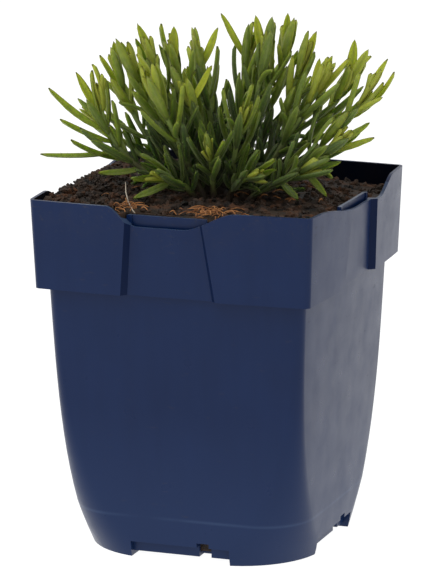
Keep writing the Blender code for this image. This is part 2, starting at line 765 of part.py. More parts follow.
def tube_shape(path):
    """Points and triangles of a stem's tube, grown by the gap, for finding what crosses it."""
    bm = tube(path, [radius + GAP for radius in stem_radii(path)], STEM_SIDES)
    bm.verts.index_update()
    points = [vert.co.copy() for vert in bm.verts]
    faces = [[vert.index for vert in face.verts] for face in bm.faces]
    bm.free()
    return points, faces


def keep_one_body(obj):
    """Drops loose scraps and sealed inner shells that joining can leave, so one outer skin stays."""
    bm = bmesh.new()
    bm.from_mesh(obj.data)
    waiting = set(bm.verts)
    islands = []
    while waiting:
        island = [waiting.pop()]
        for vert in island:
            linked = {edge.other_vert(vert) for edge in vert.link_edges} & waiting
            waiting -= linked
            island += linked
        islands.append(island)
    islands.sort(key=len)
    for island in islands[:-1]:
        bmesh.ops.delete(bm, geom=island, context="VERTS")
    bm.to_mesh(obj.data)
    bm.free()


def make_leafy_stem(name, path, leaves, finish):
    stem = object_from(tube(path, stem_radii(path), STEM_SIDES), name)
    blades = []
    for index, leaf in enumerate(leaves):
        bm = bmesh.new()
        corners = [bm.verts.new(point) for point in leaf.corners()]
        for face in LEAF_FACES:
            bm.faces.new([corners[i] for i in face])
        bmesh.ops.recalc_face_normals(bm, faces=bm.faces)
        blades.append(object_from(bm, f"{name}_leaf_{index}"))
    apply_boolean(stem, blades, "UNION", "MANIFOLD")
    keep_one_body(stem)
    stem.data.materials.clear()
    stem.data.materials.append(finish)


def main():
    clear_scene()
    make_pot()
    soil = make_soil()
    planting = Planting()
    cut_stem_holes(soil, [path for path, _ in planting.stems])
    finish = material("leaf green", LEAF_COLOUR, LEAF_ROUGHNESS)
    for owner, (path, _) in enumerate(planting.stems):
        make_leafy_stem(f"leafy_stem_{owner + 1:02d}", path, planting.grow(owner), finish)


main()
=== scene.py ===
"""Looks of the potted lithodora: moulded pot, crumbly peat, leafy stems and a white studio.

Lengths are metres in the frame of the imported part: the origin is the centre of the pot's base,
+Z is up and the pot's front faces -Y.
"""

import json
import logging
import math
import random
from collections.abc import Iterable, Sequence
from dataclasses import dataclass, replace
from enum import Enum

import bmesh
import bpy
from mathutils import Matrix, Vector
from mathutils.bvhtree import BVHTree

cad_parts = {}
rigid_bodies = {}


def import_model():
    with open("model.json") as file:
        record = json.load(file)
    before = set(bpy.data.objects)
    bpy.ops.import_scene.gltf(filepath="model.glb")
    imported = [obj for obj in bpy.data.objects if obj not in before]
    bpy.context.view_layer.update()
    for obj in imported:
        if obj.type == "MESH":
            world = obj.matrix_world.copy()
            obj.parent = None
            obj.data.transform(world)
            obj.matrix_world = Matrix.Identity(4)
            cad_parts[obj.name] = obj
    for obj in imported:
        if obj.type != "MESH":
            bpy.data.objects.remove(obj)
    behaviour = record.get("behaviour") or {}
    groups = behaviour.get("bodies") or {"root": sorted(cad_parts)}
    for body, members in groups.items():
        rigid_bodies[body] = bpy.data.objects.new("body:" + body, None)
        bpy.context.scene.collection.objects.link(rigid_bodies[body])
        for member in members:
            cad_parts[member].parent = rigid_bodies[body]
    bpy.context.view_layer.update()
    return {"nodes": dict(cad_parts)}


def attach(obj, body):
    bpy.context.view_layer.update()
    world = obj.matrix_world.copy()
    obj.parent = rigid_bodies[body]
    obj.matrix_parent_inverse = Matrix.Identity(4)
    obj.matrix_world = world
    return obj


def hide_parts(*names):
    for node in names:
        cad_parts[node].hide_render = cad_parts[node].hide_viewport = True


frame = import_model()

Shape = bmesh.types.BMesh
Piece = bpy.types.Object
Material = bpy.types.Material
Socket = bpy.types.NodeSocket
Pair = tuple[float, float]
Triple = tuple[float, float, float]
Outline = list[Vector]
Curve = tuple[Vector, Vector, Vector]

LOG = logging.getLogger("lithodora")
MM = 0.001
BODY = "root"
QUARTER = math.radians(90)
UP = Vector((0, 0, 1))


def blend(low: float, high: float, share: float) -> float:
    """The value this share of the way from low to high."""
    return low + (high - low) * share


def clamp(value: float) -> float:
    """The value, kept between 0 and 1."""
    return max(0.0, min(1.0, value))


def even_steps(low: float, high: float, count: int) -> list[float]:
    """Values from low to high, both among them, with this many equal steps between."""
    return [blend(low, high, i / count) for i in range(count + 1)]


# Making of pieces


def new_piece(bm: Shape, name: str) -> Piece:
    """Turns a bmesh into an object in the scene and frees it.

    Args:
        bm: The finished shape.
        name: The piece's name.

    Returns:
        The new object, at the origin, with its place in its mesh.
    """
    mesh = bpy.data.meshes.new(name)
    bm.to_mesh(mesh)
    bm.free()
    piece = bpy.data.objects.new(name, mesh)
    bpy.context.scene.collection.objects.link(piece)
    return piece


def finish_piece(piece: Piece, materials: Iterable[Material]) -> None:
    """Gives a piece its materials and lets it ride on the body.

    Args:
        piece: The piece, whose faces already have their material numbers.
        materials: Its materials by number.
    """
    slots = piece.data.materials
    for index, material in enumerate(materials):
        if index < len(slots):
            slots[index] = material
        else:
            slots.append(material)
    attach(piece, BODY)
    LOG.info("%s: %d faces", piece.name, len(piece.data.polygons))


def loft(rings: Sequence[Outline]) -> Shape:
    """Extrudes the first outline through all the others into one closed skin.

    Args:
        rings: Closed outlines of equal length, in order along the skin.

    Returns:
        The skin, with both ends filled and its faces turned outwards.
    """
    bm = bmesh.new()
    cap = bm.faces.new([bm.verts.new(point) for point in rings[0]])
    foot = list(cap.edges)
    for points in rings[1:]:
        cap = bmesh.ops.extrude_discrete_faces(bm, faces=[cap])["faces"][0]
        for vert, point in zip(cap.verts, points):
            vert.co = point
    bmesh.ops.contextual_create(bm, geom=foot)
    bmesh.ops.recalc_face_normals(bm, faces=bm.faces)
    return bm


def tube(path: Outline, radii: Sequence[float], sides: int) -> Shape:
    """A closed round tube along a path, made of circles.

    Args:
        path: Centre line of the tube.
        radii: Radius at each point of the path.
        sides: Number of sides.

    Returns:
        The tube, with both ends filled.
    """
    across = Vector((1, 0, 0))
    rings = []
    for index, point in enumerate(path):
        ahead = path[min(index + 1, len(path) - 1)] - path[max(index - 1, 0)]
        ahead.normalize()
        across = (across - ahead * across.dot(ahead)).normalized()
        side = ahead.cross(across)
        turns = [2 * math.pi * corner / sides for corner in range(sides)]
        rings.append([point + (across * math.cos(t) + side * math.sin(t)) * radii[index] for t in turns])
    return loft(rings)


def box(*spans: Pair) -> Shape:
    """A plain box, for cutting.

    Args:
        spans: Its lowest and highest place along X, Y and Z.

    Returns:
        The box.
    """
    bm = bmesh.new()
    low, high = (Vector(corner) for corner in zip(*spans))
    size = Matrix.Diagonal((high - low).to_4d())
    bmesh.ops.create_cube(bm, size=1.0, matrix=Matrix.Translation((high + low) / 2) @ size)
    return bm


def join_meshes(parts: Iterable[Shape]) -> Shape:
    """Puts many shapes in one.

    Args:
        parts: The shapes, which are freed.

    Returns:
        One shape that holds them all.
    """
    whole = bmesh.new()
    for part in parts:
        mesh = bpy.data.meshes.new("joined")
        part.to_mesh(mesh)
        part.free()
        whole.from_mesh(mesh)
        bpy.data.meshes.remove(mesh)
    return whole


# Finishes


class NodeGraph:
    """Adds and links the shader nodes of one material."""

    def __init__(self, name: str) -> None:
        """Starts a material with a Principled shader.

        Args:
            name: The material's name.
        """
        self.material = bpy.data.materials.new(name)
        self.material.use_nodes = True
        self.tree = self.material.node_tree
        self.shader = self.tree.nodes["Principled BSDF"]
        self.place = self.node("ShaderNodeTexCoord", "Object", {})

    def feed(self, socket: Socket, value: object) -> None:
        """Fills in one input.

        Args:
            socket: The input.
            value: The socket that it's linked to, or a constant to write on it.
        """
        if isinstance(value, Socket):
            self.tree.links.new(value, socket)
        else:
            socket.default_value = value

    def node(
        self, kind: str, output: str | int, inputs: dict[str | int, object], **settings: object
    ) -> Socket:
        """Adds a node and fills it in.

        Args:
            kind: Blender's name for the kind of node.
            output: Name or number of the output that is wanted.
            inputs: What each input gets.
            settings: Values of the node's own settings.

        Returns:
            The output socket.
        """
        node = self.tree.nodes.new(kind)
        for name, value in settings.items():
            setattr(node, name, value)
        for name, value in inputs.items():
            self.feed(node.inputs[name], value)
        return node.outputs[output]

    def finished(self, **values: object) -> Material:
        """Feeds the shader's own sockets.

        Args:
            values: What each socket gets, with underscores for the spaces in its name.

        Returns:
            The finished material.
        """
        for name, value in values.items():
            self.feed(self.shader.inputs[name.replace("_", " ")], value)
        return self.material

    def stretched(self, scale: Triple) -> Socket:
        """Object coordinates scaled apart along each axis."""
        return self.node("ShaderNodeMapping", "Vector", {"Scale": scale, "Vector": self.place})

    def noise(self, scale: float, detail: float, vector: Socket | None = None) -> Socket:
        """Noise from 0 to 1, with this many lumps for each metre and finer layers in it."""
        inputs = {"Scale": scale, "Detail": detail, "Vector": vector or self.place}
        return self.node("ShaderNodeTexNoise", "Fac", inputs)

    def attribute(self, name: str) -> Socket:
        """A mesh attribute's value."""
        return self.node("ShaderNodeAttribute", "Fac", {}, attribute_name=name)

    def math(self, operation: str, first: object, second: object = 0.0) -> Socket:
        """One sum of two values."""
        return self.node("ShaderNodeMath", "Value", {0: first, 1: second}, operation=operation)

    def span(
        self, value: Socket, low: float, high: float, to_low: float = 0.0, to_high: float = 1.0
    ) -> Socket:
        """The value's place between low and high, spread from to_low to to_high and kept there."""
        inputs = {"Value": value, "From Min": low, "From Max": high, "To Min": to_low, "To Max": to_high}
        return self.node("ShaderNodeMapRange", "Result", inputs)

    def ramp(self, factor: Socket, *stops: tuple[float, Triple]) -> Socket:
        """A colour for each value, blended between stops.

        Args:
            factor: Value from 0 to 1.
            stops: Place and linear colour of each stop.

        Returns:
            The colour socket.
        """
        output = self.node("ShaderNodeValToRGB", "Color", {"Fac": factor})
        elements = output.node.color_ramp.elements
        while len(elements) < len(stops):
            elements.new(0.5)
        for element, (place, colour) in zip(elements, stops):
            element.position = place
            element.color = (*colour, 1.0)
        return output

    def tinted(self, share: Socket, colour: Socket, tint: Triple) -> Socket:
        """A colour turned towards a tint by this share."""
        inputs = {"Factor": share, 6: colour, 7: (*tint, 1.0)}
        return self.node("ShaderNodeMix", 2, inputs, data_type="RGBA")

    def bump(self, height: Socket, strength: float, distance: float) -> Socket:
        """The surface's normal when it's raised by this height."""
        inputs = {"Height": height, "Strength": strength, "Distance": distance}
        return self.node("ShaderNodeBump", "Normal", inputs)


@dataclass(frozen=True)
class MouldedPlastic:
    """Thin satin polypropylene of the pot: flow marks, scuffs, a foot paler by a painted floor reflection, a
    thin painted highlight ring near the foot, and peat dust near the rim.
    """

    name: str = "navy moulded plastic"
    deep: Triple = (0.0005, 0.0112, 0.056)
    light: Triple = (0.0016, 0.0142, 0.066)
    dust: Triple = (0.050, 0.046, 0.046)
    # Painted reflection of the floor: the wall turns paler towards the foot
    floor_reflection: Triple = (0.0085, 0.0250, 0.086)
    reflection_from: float = 48 * MM
    reflection_to: float = 14 * MM
    reflection_share: float = 0.7
    # A painted highlight: a thin pale ring along the crease near the foot
    ring_highlight: Triple = (0.026, 0.052, 0.125)
    ring_height: float = 13.4 * MM
    ring_half: float = 0.7 * MM
    ring_share: float = 0.75
    flow_share: float = 0.45
    flow_stretch: Triple = (1.0, 1.0, 0.07)
    scuff_stretch: Triple = (0.3, 0.3, 1.0)
    gloss_index: float = 1.30
    gloss_level: float = 0.5
    dust_from: float = 96 * MM
    dust_to: float = 112 * MM
    grain_depth: float = 0.06 * MM

    def colour(self, graph: NodeGraph, height: Socket, flow: Socket) -> Socket:
        """The plastic's colour, paler towards the foot as a painted floor reflection, and in a ring there as
        a painted highlight.

        Args:
            graph: The material's nodes.
            height: Height above the pot's base.
            flow: Pattern of the flow marks.

        Returns:
            The colour socket.
        """
        cloud = graph.noise(46.0, 3.0)
        marks = graph.math("MULTIPLY", flow, self.flow_share)
        shade = graph.math("ADD", marks, graph.math("MULTIPLY", cloud, 1 - self.flow_share))
        colour = graph.ramp(shade, (0.32, self.deep), (0.68, self.light))
        # Painted floor reflection, paler towards the foot
        near_foot = graph.span(height, self.reflection_to, self.reflection_from, self.reflection_share, 0.0)
        colour = graph.tinted(near_foot, colour, self.floor_reflection)
        # Painted highlight in a thin ring along the crease
        from_ring = graph.math("ABSOLUTE", graph.math("SUBTRACT", height, self.ring_height))
        ring = graph.span(from_ring, 0.0, self.ring_half, self.ring_share, 0.0)
        ring = graph.math("MULTIPLY", ring, graph.span(cloud, 0.3, 0.6))
        return graph.tinted(ring, colour, self.ring_highlight)

    def material(self) -> Material:
        """Builds the material.

        Returns:
            The plastic of this finish.
        """
        graph = NodeGraph(self.name)
        height = graph.node("ShaderNodeSeparateXYZ", "Z", {"Vector": graph.place})
        flow = graph.noise(260.0, 4.0, graph.stretched(self.flow_stretch))
        near_rim = graph.span(height, self.dust_from, self.dust_to)
        specks = graph.span(graph.noise(900.0, 2.0), 0.60, 0.74)
        film = graph.span(graph.noise(150.0, 5.0), 0.45, 0.8, 0.0, 0.35)
        dusty = graph.math("MULTIPLY", graph.math("MAXIMUM", specks, film), near_rim)
        streaks = graph.noise(700.0, 2.0, graph.stretched(self.scuff_stretch))
        scuffs = graph.span(streaks, 0.69, 0.8, 0.0, 0.22)
        soiled = graph.math("ADD", graph.math("MULTIPLY", dusty, 0.4), scuffs)
        rough = graph.span(graph.noise(120.0, 4.0), 0.3, 0.7, 0.27, 0.37)
        grain = graph.math("ADD", graph.noise(1500.0, 2.0), graph.math("MULTIPLY", flow, 0.8))
        return graph.finished(
            Base_Color=graph.tinted(soiled, self.colour(graph, height, flow), self.dust),
            Roughness=graph.math("ADD", rough, graph.math("MULTIPLY", soiled, 0.5)),
            Normal=graph.bump(grain, 0.10, self.grain_depth),
            IOR=self.gloss_index,
            Specular_IOR_Level=self.gloss_level,
        )


@dataclass(frozen=True)
class MoistPeat:
    """Dark crumbly peat with browner crumbs and pale flecks."""

    name: str = "moist peat"
    black: Triple = (0.0055, 0.0042, 0.0038)
    brown: Triple = (0.041, 0.024, 0.015)
    russet: Triple = (0.105, 0.044, 0.020)
    fleck: Triple = (0.13, 0.085, 0.05)
    crumb_depth: float = 0.7 * MM

    def material(self) -> Material:
        """Builds the material.

        Returns:
            The peat's material.
        """
        graph = NodeGraph(self.name)
        patches = graph.noise(210.0, 6.0)
        colour = graph.ramp(patches, (0.34, self.black), (0.52, self.brown), (0.72, self.russet))
        flecks = graph.span(graph.noise(2300.0, 1.0), 0.70, 0.78, 0.0, 0.5)
        return graph.finished(
            Base_Color=graph.tinted(flecks, colour, self.fleck),
            Roughness=graph.span(patches, 0.3, 0.7, 0.62, 0.95),
            Normal=graph.bump(graph.math("ADD", graph.noise(1300.0, 5.0), patches), 0.9, self.crumb_depth),
            IOR=1.4,
        )


@dataclass(frozen=True)
class Fibre:
    """Dry root and bark fibres in the peat."""

    name: str = "peat fibre"
    dark: Triple = (0.13, 0.038, 0.008)
    pale: Triple = (0.46, 0.20, 0.06)
    grain_depth: float = 0.1 * MM

    def material(self) -> Material:
        """Builds the material.

        Returns:
            The fibres' material.
        """
        graph = NodeGraph(self.name)
        shade = graph.noise(420.0, 3.0)
        return graph.finished(
            Base_Color=graph.ramp(shade, (0.35, self.dark), (0.62, self.pale)),
            Roughness=graph.span(shade, 0.3, 0.7, 0.6, 0.85),
            Normal=graph.bump(graph.noise(3000.0, 2.0), 0.4, self.grain_depth),
        )


@dataclass(frozen=True)
class LeafSkin:
    """Soft hairy leaf: dark when old and in painted shade, yellow-green when young and in painted light,
    with a pale midrib and light underside.
    """

    name: str = "lithodora leaf"
    stops: tuple[tuple[float, Triple], ...] = (
        (0.0, (0.010, 0.020, 0.002)),
        (0.35, (0.056, 0.088, 0.004)),
        (0.65, (0.158, 0.208, 0.008)),
        (1.0, (0.380, 0.410, 0.024)),
    )
    rib: Triple = (0.28, 0.34, 0.08)
    # Pale tint of the hairs, partly a painted sheen
    frost_and_sheen: Triple = (0.30, 0.35, 0.17)
    underside: Triple = (0.10, 0.15, 0.06)
    grain_depth: float = 0.12 * MM
    glow_depth: float = 1.2 * MM

    def material(self) -> Material:
        """Builds the material.

        Returns:
            The leaves' material.
        """
        graph = NodeGraph(self.name)
        mottle = graph.span(graph.noise(700.0, 4.0), 0.3, 0.7, -0.10, 0.10)
        colour = graph.ramp(graph.math("ADD", graph.attribute("tone"), mottle), *self.stops)
        near_rib = graph.span(graph.attribute("from_rib"), 0.0, 0.22, 0.30, 0.0)
        colour = graph.tinted(near_rib, colour, self.rib)
        # Pale patches: the hairs' own pale tint and a painted sheen
        frost_and_sheen_share = graph.span(graph.noise(2600.0, 2.0), 0.42, 0.78, 0.0, 0.18)
        colour = graph.tinted(frost_and_sheen_share, colour, self.frost_and_sheen)
        under = graph.math("MULTIPLY", graph.attribute("underside"), 0.22)
        return graph.finished(
            Base_Color=graph.tinted(under, colour, self.underside),
            Roughness=graph.span(graph.noise(500.0, 3.0), 0.3, 0.7, 0.42, 0.60),
            Normal=graph.bump(graph.noise(2200.0, 3.0), 0.25, self.grain_depth),
            IOR=1.36,
            Sheen_Weight=0.10,
            Sheen_Roughness=0.45,
            Sheen_Tint=(0.85, 0.92, 0.50, 1.0),
            Subsurface_Weight=0.25,
            Subsurface_Radius=(0.6, 1.0, 0.15),
            Subsurface_Scale=self.glow_depth,
        )


@dataclass(frozen=True)
class StemSkin:
    """Stems: brown and woody at the foot, light green and hairy above."""

    name: str = "lithodora stem"
    stops: tuple[tuple[float, Triple], ...] = (
        (0.0, (0.030, 0.018, 0.010)),
        (0.22, (0.060, 0.060, 0.018)),
        (0.5, (0.14, 0.19, 0.045)),
        (1.0, (0.22, 0.30, 0.05)),
    )
    grain_depth: float = 0.15 * MM

    def material(self) -> Material:
        """Builds the material.

        Returns:
            The stems' material.
        """
        graph = NodeGraph(self.name)
        mottle = graph.span(graph.noise(500.0, 3.0), 0.3, 0.7, -0.12, 0.12)
        return graph.finished(
            Base_Color=graph.ramp(graph.math("ADD", graph.attribute("tone"), mottle), *self.stops),
            Roughness=graph.span(graph.noise(800.0, 2.0), 0.3, 0.7, 0.55, 0.75),
            Normal=graph.bump(graph.noise(1800.0, 3.0), 0.4, self.grain_depth),
        )


@dataclass(frozen=True)
class HairFinish:
    """Stiff pale bristles on leaves."""

    name: str = "leaf bristle"
    dark: Triple = (0.252, 0.30, 0.168)
    pale: Triple = (0.42, 0.50, 0.28)

    def material(self) -> Material:
        """Builds the material.

        Returns:
            The bristles' material.
        """
        graph = NodeGraph(self.name)
        colour = graph.ramp(graph.noise(900.0, 1.0), (0.3, self.dark), (0.7, self.pale))
        return graph.finished(Base_Color=colour, Roughness=0.4)


# Pot


class PotSurface(Enum):
    """Finishes of the pot, by the number of their material."""

    CLEAN = 0
    # Painted shade on the inner wall above the peat
    GRIMY = 1
    # Painted shade in the steps beside each panel
    GROOVE = 2
    # Painted highlight on the upward lips of the scoops
    LIP = 3


@dataclass(frozen=True)
class Scoop:
    """A dip in the rim: its depth, and where the slopes at its left and right ends start and end."""

    depth: float
    left: Pair
    right: Pair

    def dip(self, across: float) -> float:
        """How far the rim is lowered here.

        Args:
            across: Place along the side, from its middle.

        Returns:
            The depth here.
        """
        start, end = self.left if across < 0 else self.right
        share = clamp((abs(across) - start) / (end - start))
        return self.depth * (1 - share * share * (3 - 2 * share))


@dataclass
class NurseryPot:
    """Square moulded pot with a stepped collar, finer than the CAD pot it stands for."""

    rim_height: float = 111.5 * MM
    rim_half: float = 45.0 * MM
    collar_height: float = 27.5 * MM
    collar_foot_half: float = 43.9 * MM
    collar_corner: float = 1.6 * MM
    shoulder_half: float = 40.8 * MM
    shoulder_corner: float = 3.0 * MM
    crease_height: float = 14.0 * MM
    crease_half: float = 37.9 * MM
    above_crease: float = 0.8 * MM
    foot_half: float = 36.6 * MM
    foot_corner: float = 25.0 * MM
    wall: float = 1.0 * MM
    floor: float = 2.7 * MM
    ledge_height: float = 6.2 * MM
    ledge_inset: float = 3.3 * MM
    inner_heights: Triple = (60 * MM, 38 * MM, 24 * MM)
    bow_at_rim: float = 2.2 * MM
    bow_at_foot: float = 0.4 * MM
    corner_steps: int = 14
    side_steps: int = 4
    foot_steps: int = 3
    body_steps: int = 12
    collar_steps: int = 3
    least_corner: float = 0.5 * MM
    corner_power: float = 3.3
    overrun: float = 5.0 * MM
    cutter_overlap: float = 0.05 * MM
    lip_from: float = 100 * MM
    lip_half: float = 25 * MM
    # How far a face's normal turns up, inwards, to both sides at once or outwards for its finish, which on
    # the lips is a painted highlight and inside and in the grooves a painted shade
    lip_turn: float = 0.5
    shaded_inside_turn: float = -0.3
    slanted_turn: float = 0.1
    shaded_groove_turn: float = 0.2
    panel_long: Pair = (15.5 * MM, 13.0 * MM)
    panel_short: Pair = (14.8 * MM, 10.7 * MM)
    panel_step_slope: float = 1.6 * MM
    panel_face_at_rim: float = 43.2 * MM
    panel_face_at_foot: float = 42.0 * MM
    panel_widening: float = 1.5
    pocket_long: float = 12.2 * MM
    pocket_short: float = 10.2 * MM
    pocket_front: float = 42.0 * MM
    pocket_back: float = 41.1 * MM
    pocket_foot: float = 100.0 * MM
    tongue_face: float = 40.1 * MM
    tongue_half: float = 15.5 * MM
    tongue_root: float = 91.0 * MM
    tongue_top: float = 108.6 * MM
    scoops: tuple[Scoop, Scoop] = (
        Scoop(6.2 * MM, (10.5 * MM, 19.5 * MM), (4.0 * MM, 22.0 * MM)),
        Scoop(4.8 * MM, (0.0, 38.0 * MM), (17.0 * MM, 31.0 * MM)),
    )
    scoop_steps: int = 48
    notch_half: float = 16.0 * MM
    notch_height: float = 5.0 * MM
    notch_face: float = 34.7 * MM
    relief_height: float = 1.5 * MM
    relief_reach: float = 26.0 * MM
    slot_from: float = 5.6 * MM
    slot_to: float = 9.5 * MM
    slot_height: float = 6.4 * MM
    drain_radius: float = 3.0 * MM
    drain_offset: float = 15.0 * MM
    drain_sides: int = 24
    edge_softness: float = 0.22 * MM
    smooth_below: float = math.radians(30)
    soften_above: float = math.radians(35)
    finish: MouldedPlastic = MouldedPlastic()
    # Painted shade: near-black, dull plastic on the inner wall above the peat, where shade falls inside the
    # pot
    painted_inner_shade: MouldedPlastic = MouldedPlastic(
        name="plastic with painted inner shade",
        deep=(0.0008, 0.0026, 0.0085),
        light=(0.0030, 0.0034, 0.0080),
        dust=(0.012, 0.009, 0.007),
        gloss_level=0.16,
    )
    # Painted shade: darker, duller plastic on the steps beside each panel, where shade falls in the grooves
    groove: MouldedPlastic = MouldedPlastic(
        name="plastic with painted groove shade",
        deep=(0.0006, 0.0070, 0.036),
        light=(0.0014, 0.0088, 0.042),
        dust=(0.020, 0.018, 0.018),
        gloss_level=0.22,
    )
    # Painted highlight: pale plastic on the upward lips of the scoops, where they catch the light
    lip: MouldedPlastic = MouldedPlastic(
        name="lip with painted highlight",
        deep=(0.022, 0.046, 0.110),
        light=(0.050, 0.080, 0.150),
    )

    @property
    def shoulder(self) -> float:
        """Height of the collar's foot."""
        return self.rim_height - self.collar_height

    @property
    def pocket_middle(self) -> float:
        """How far out the middle of the label pockets lies."""
        return (self.pocket_front + self.pocket_back) / 2

    def collar_share(self, height: float) -> float:
        """How far up the collar this height lies, from 0 at its foot to 1 at the rim."""
        return max(0.0, (height - self.shoulder) / self.collar_height)

    def body_half(self, height: float) -> float:
        """Half width of the wall, without its bow.

        Args:
            height: Height above the base.

        Returns:
            The half width.
        """
        if height < self.crease_height:
            return blend(self.foot_half, self.crease_half, height / self.crease_height)
        if height < self.shoulder:
            share = (height - self.crease_height) / (self.shoulder - self.crease_height)
            return blend(self.crease_half, self.shoulder_half, share)
        return blend(self.shoulder_half, self.panel_face_at_rim, self.collar_share(height))

    def body_corner(self, height: float) -> float:
        """Radius of the wall's corners at this height."""
        share = max(0.0, 1.0 - height / self.shoulder)
        return self.shoulder_corner + (self.foot_corner - self.shoulder_corner) * share**self.corner_power

    def panel_ends(self, height: float, inset: float) -> list[float]:
        """How far the middle panel reaches each way, a little more on the inside of the wall.

        Args:
            height: Height above the base.
            inset: How far inside the outer skin.

        Returns:
            The reach towards the long and the short end.
        """
        share = self.collar_share(height)
        wider = self.panel_widening * inset
        return [blend(foot, rim, share) + wider for foot, rim in (self.panel_long, self.panel_short)]

    def outline(
        self, height: float, half: float, corner: float, recess: float, ends: Sequence[float]
    ) -> Outline:
        """One closed outline: a rounded square with a recess in the middle of each side.

        Args:
            height: Height of the outline.
            half: Half width of the square.
            corner: Radius of its corners.
            recess: Depth of the recess.
            ends: How far the recess reaches towards the long and the short end of its side.

        Returns:
            The outline's points, with the same count for every outline.
        """
        flat = half - corner
        long_end, short_end = ends
        slope = self.panel_step_slope * long_end / self.panel_long[0]
        panel = even_steps(slope - long_end, short_end - slope, 2 * self.side_steps)
        side = [(along, 0.0) for along in even_steps(-flat, -long_end, self.side_steps)[1:]]
        side += [(along, recess) for along in panel]
        side += [(along, 0.0) for along in reversed(even_steps(flat, short_end, self.side_steps)[1:])]
        mirrored = [(-along, depth) for along, depth in reversed(side)]
        points = []
        for quarter in range(4):
            turn = Matrix.Rotation(QUARTER * quarter, 4, "Z")
            for along, depth in mirrored if quarter % 2 else side:
                points.append(turn @ Vector((along, depth - half, height)))
            for step in range(self.corner_steps + 1):
                angle = QUARTER * (step / self.corner_steps - 1)
                place = (flat + corner * math.cos(angle), corner * math.sin(angle) - flat, height)
                points.append(turn @ Vector(place))
        return points

    def body_outline(self, height: float, inset: float) -> Outline:
        """An outline of the wall below the collar.

        Args:
            height: Height above the base.
            inset: How far inside the outer skin.

        Returns:
            The outline's points.
        """
        half = self.body_half(height) - inset
        corner = self.body_corner(height) - inset
        share = min(1.0, (half - corner) / (self.shoulder_half - self.shoulder_corner))
        ends = [end * share for end in self.panel_ends(height, inset)]
        return self.outline(height, half, corner, 0.0, ends)

    def collar_outline(self, height: float, inset: float, face: float | None = None) -> Outline:
        """An outline of the collar.

        Args:
            height: Height above the base.
            inset: How far inside the outer skin.
            face: How far out the middle panel lies, if not at the wall.

        Returns:
            The outline's points.
        """
        half = blend(self.collar_foot_half, self.rim_half, self.collar_share(height)) - inset
        panel = self.body_half(height) - inset if face is None else face
        corner = max(self.collar_corner - inset, self.least_corner)
        return self.outline(height, half, corner, half - panel, self.panel_ends(height, inset))

    def skin(self) -> list[Outline]:
        """Lays out the whole wall.

        Returns:
            Outlines up its outside and down its inside.
        """
        crease, ledge = self.crease_height, self.shoulder + self.wall
        outside = even_steps(0.0, crease, self.foot_steps) + [crease + self.above_crease]
        outside += even_steps(crease, self.shoulder, self.body_steps)[1:]
        rings = [self.body_outline(height, 0.0) for height in outside]
        faces = even_steps(self.panel_face_at_foot, self.panel_face_at_rim, self.collar_steps)
        heights = even_steps(self.shoulder, self.rim_height, self.collar_steps)
        rings += [self.collar_outline(height, 0.0, face) for height, face in zip(heights, faces)]
        tongue = (self.rim_height, self.pocket_foot)
        rings += [self.collar_outline(h, self.wall, self.tongue_face) for h in tongue]
        rings += [self.collar_outline(h, self.wall) for h in (self.tongue_root, ledge)]
        inside = (ledge, *self.inner_heights, crease, self.ledge_height)
        rings += [self.body_outline(h, self.wall) for h in inside]
        rings += [self.body_outline(h, self.ledge_inset) for h in (self.ledge_height, self.floor)]
        return rings

    def scoop_cutter(self, scoop: Scoop) -> Shape:
        """What a scoop takes out of the rim, extruded through the front lip.

        Args:
            scoop: The scoop.

        Returns:
            The cutter.
        """
        bm = bmesh.new()
        above = self.rim_height + self.overrun
        near = self.cutter_overlap - self.pocket_middle
        far = -self.rim_half - 2 * self.overrun
        left, right = -scoop.left[1], scoop.right[1]
        curve = [(right, above), (left, above)]
        curve += [(x, self.rim_height - scoop.dip(x)) for x in even_steps(left, right, self.scoop_steps)]
        face = bm.faces.new([bm.verts.new((across, far, height)) for across, height in curve])
        swept = bmesh.ops.extrude_face_region(bm, geom=[face])
        moved = [item for item in swept["geom"] if isinstance(item, bmesh.types.BMVert)]
        bmesh.ops.translate(bm, verts=moved, vec=(0, near - far, 0))
        bmesh.ops.recalc_face_normals(bm, faces=bm.faces)
        return bm

    def side_cutters(self, mirrored: int) -> list[Shape]:
        """Everything cut from one side, as if it were the front.

        Args:
            mirrored: 1 on the left and right sides, which are mirrored, and 0 on the others.

        Returns:
            Cutters of the scoop, pocket, tongue's top, notch, relief and slot.
        """
        over, under = self.rim_height + self.overrun, -self.overrun
        outside = -self.rim_half - 2 * self.overrun
        notch, tongue = (-self.notch_half, self.notch_half), (-self.tongue_half, self.tongue_half)
        left, right = -self.pocket_long, self.pocket_short
        pocket = (-right, -left) if mirrored else (left, right)
        boxes = (
            (pocket, (-self.pocket_front, -self.pocket_back), (self.pocket_foot, over)),
            (tongue, (-self.pocket_middle, self.overrun - self.tongue_face), (self.tongue_top, over)),
            (notch, (outside, -self.notch_face), (under, self.notch_height)),
            (notch, (outside, -self.relief_reach), (under, self.relief_height)),
            ((self.slot_from, self.slot_to), (outside, -self.relief_reach), (under, self.slot_height)),
        )
        return [self.scoop_cutter(self.scoops[mirrored])] + [box(*spans) for spans in boxes]

    def drain_cutter(self, angle: float) -> Shape:
        """A round drain hole.

        Args:
            angle: Its place round the base.

        Returns:
            The cutter.
        """
        bm = bmesh.new()
        reach = self.drain_offset * math.sqrt(2)
        bmesh.ops.create_cone(
            bm,
            cap_ends=True,
            segments=self.drain_sides,
            radius1=self.drain_radius,
            radius2=self.drain_radius,
            depth=2 * (self.floor + self.overrun),
            matrix=Matrix.Translation((reach * math.cos(angle), reach * math.sin(angle), 0)),
        )
        return bm

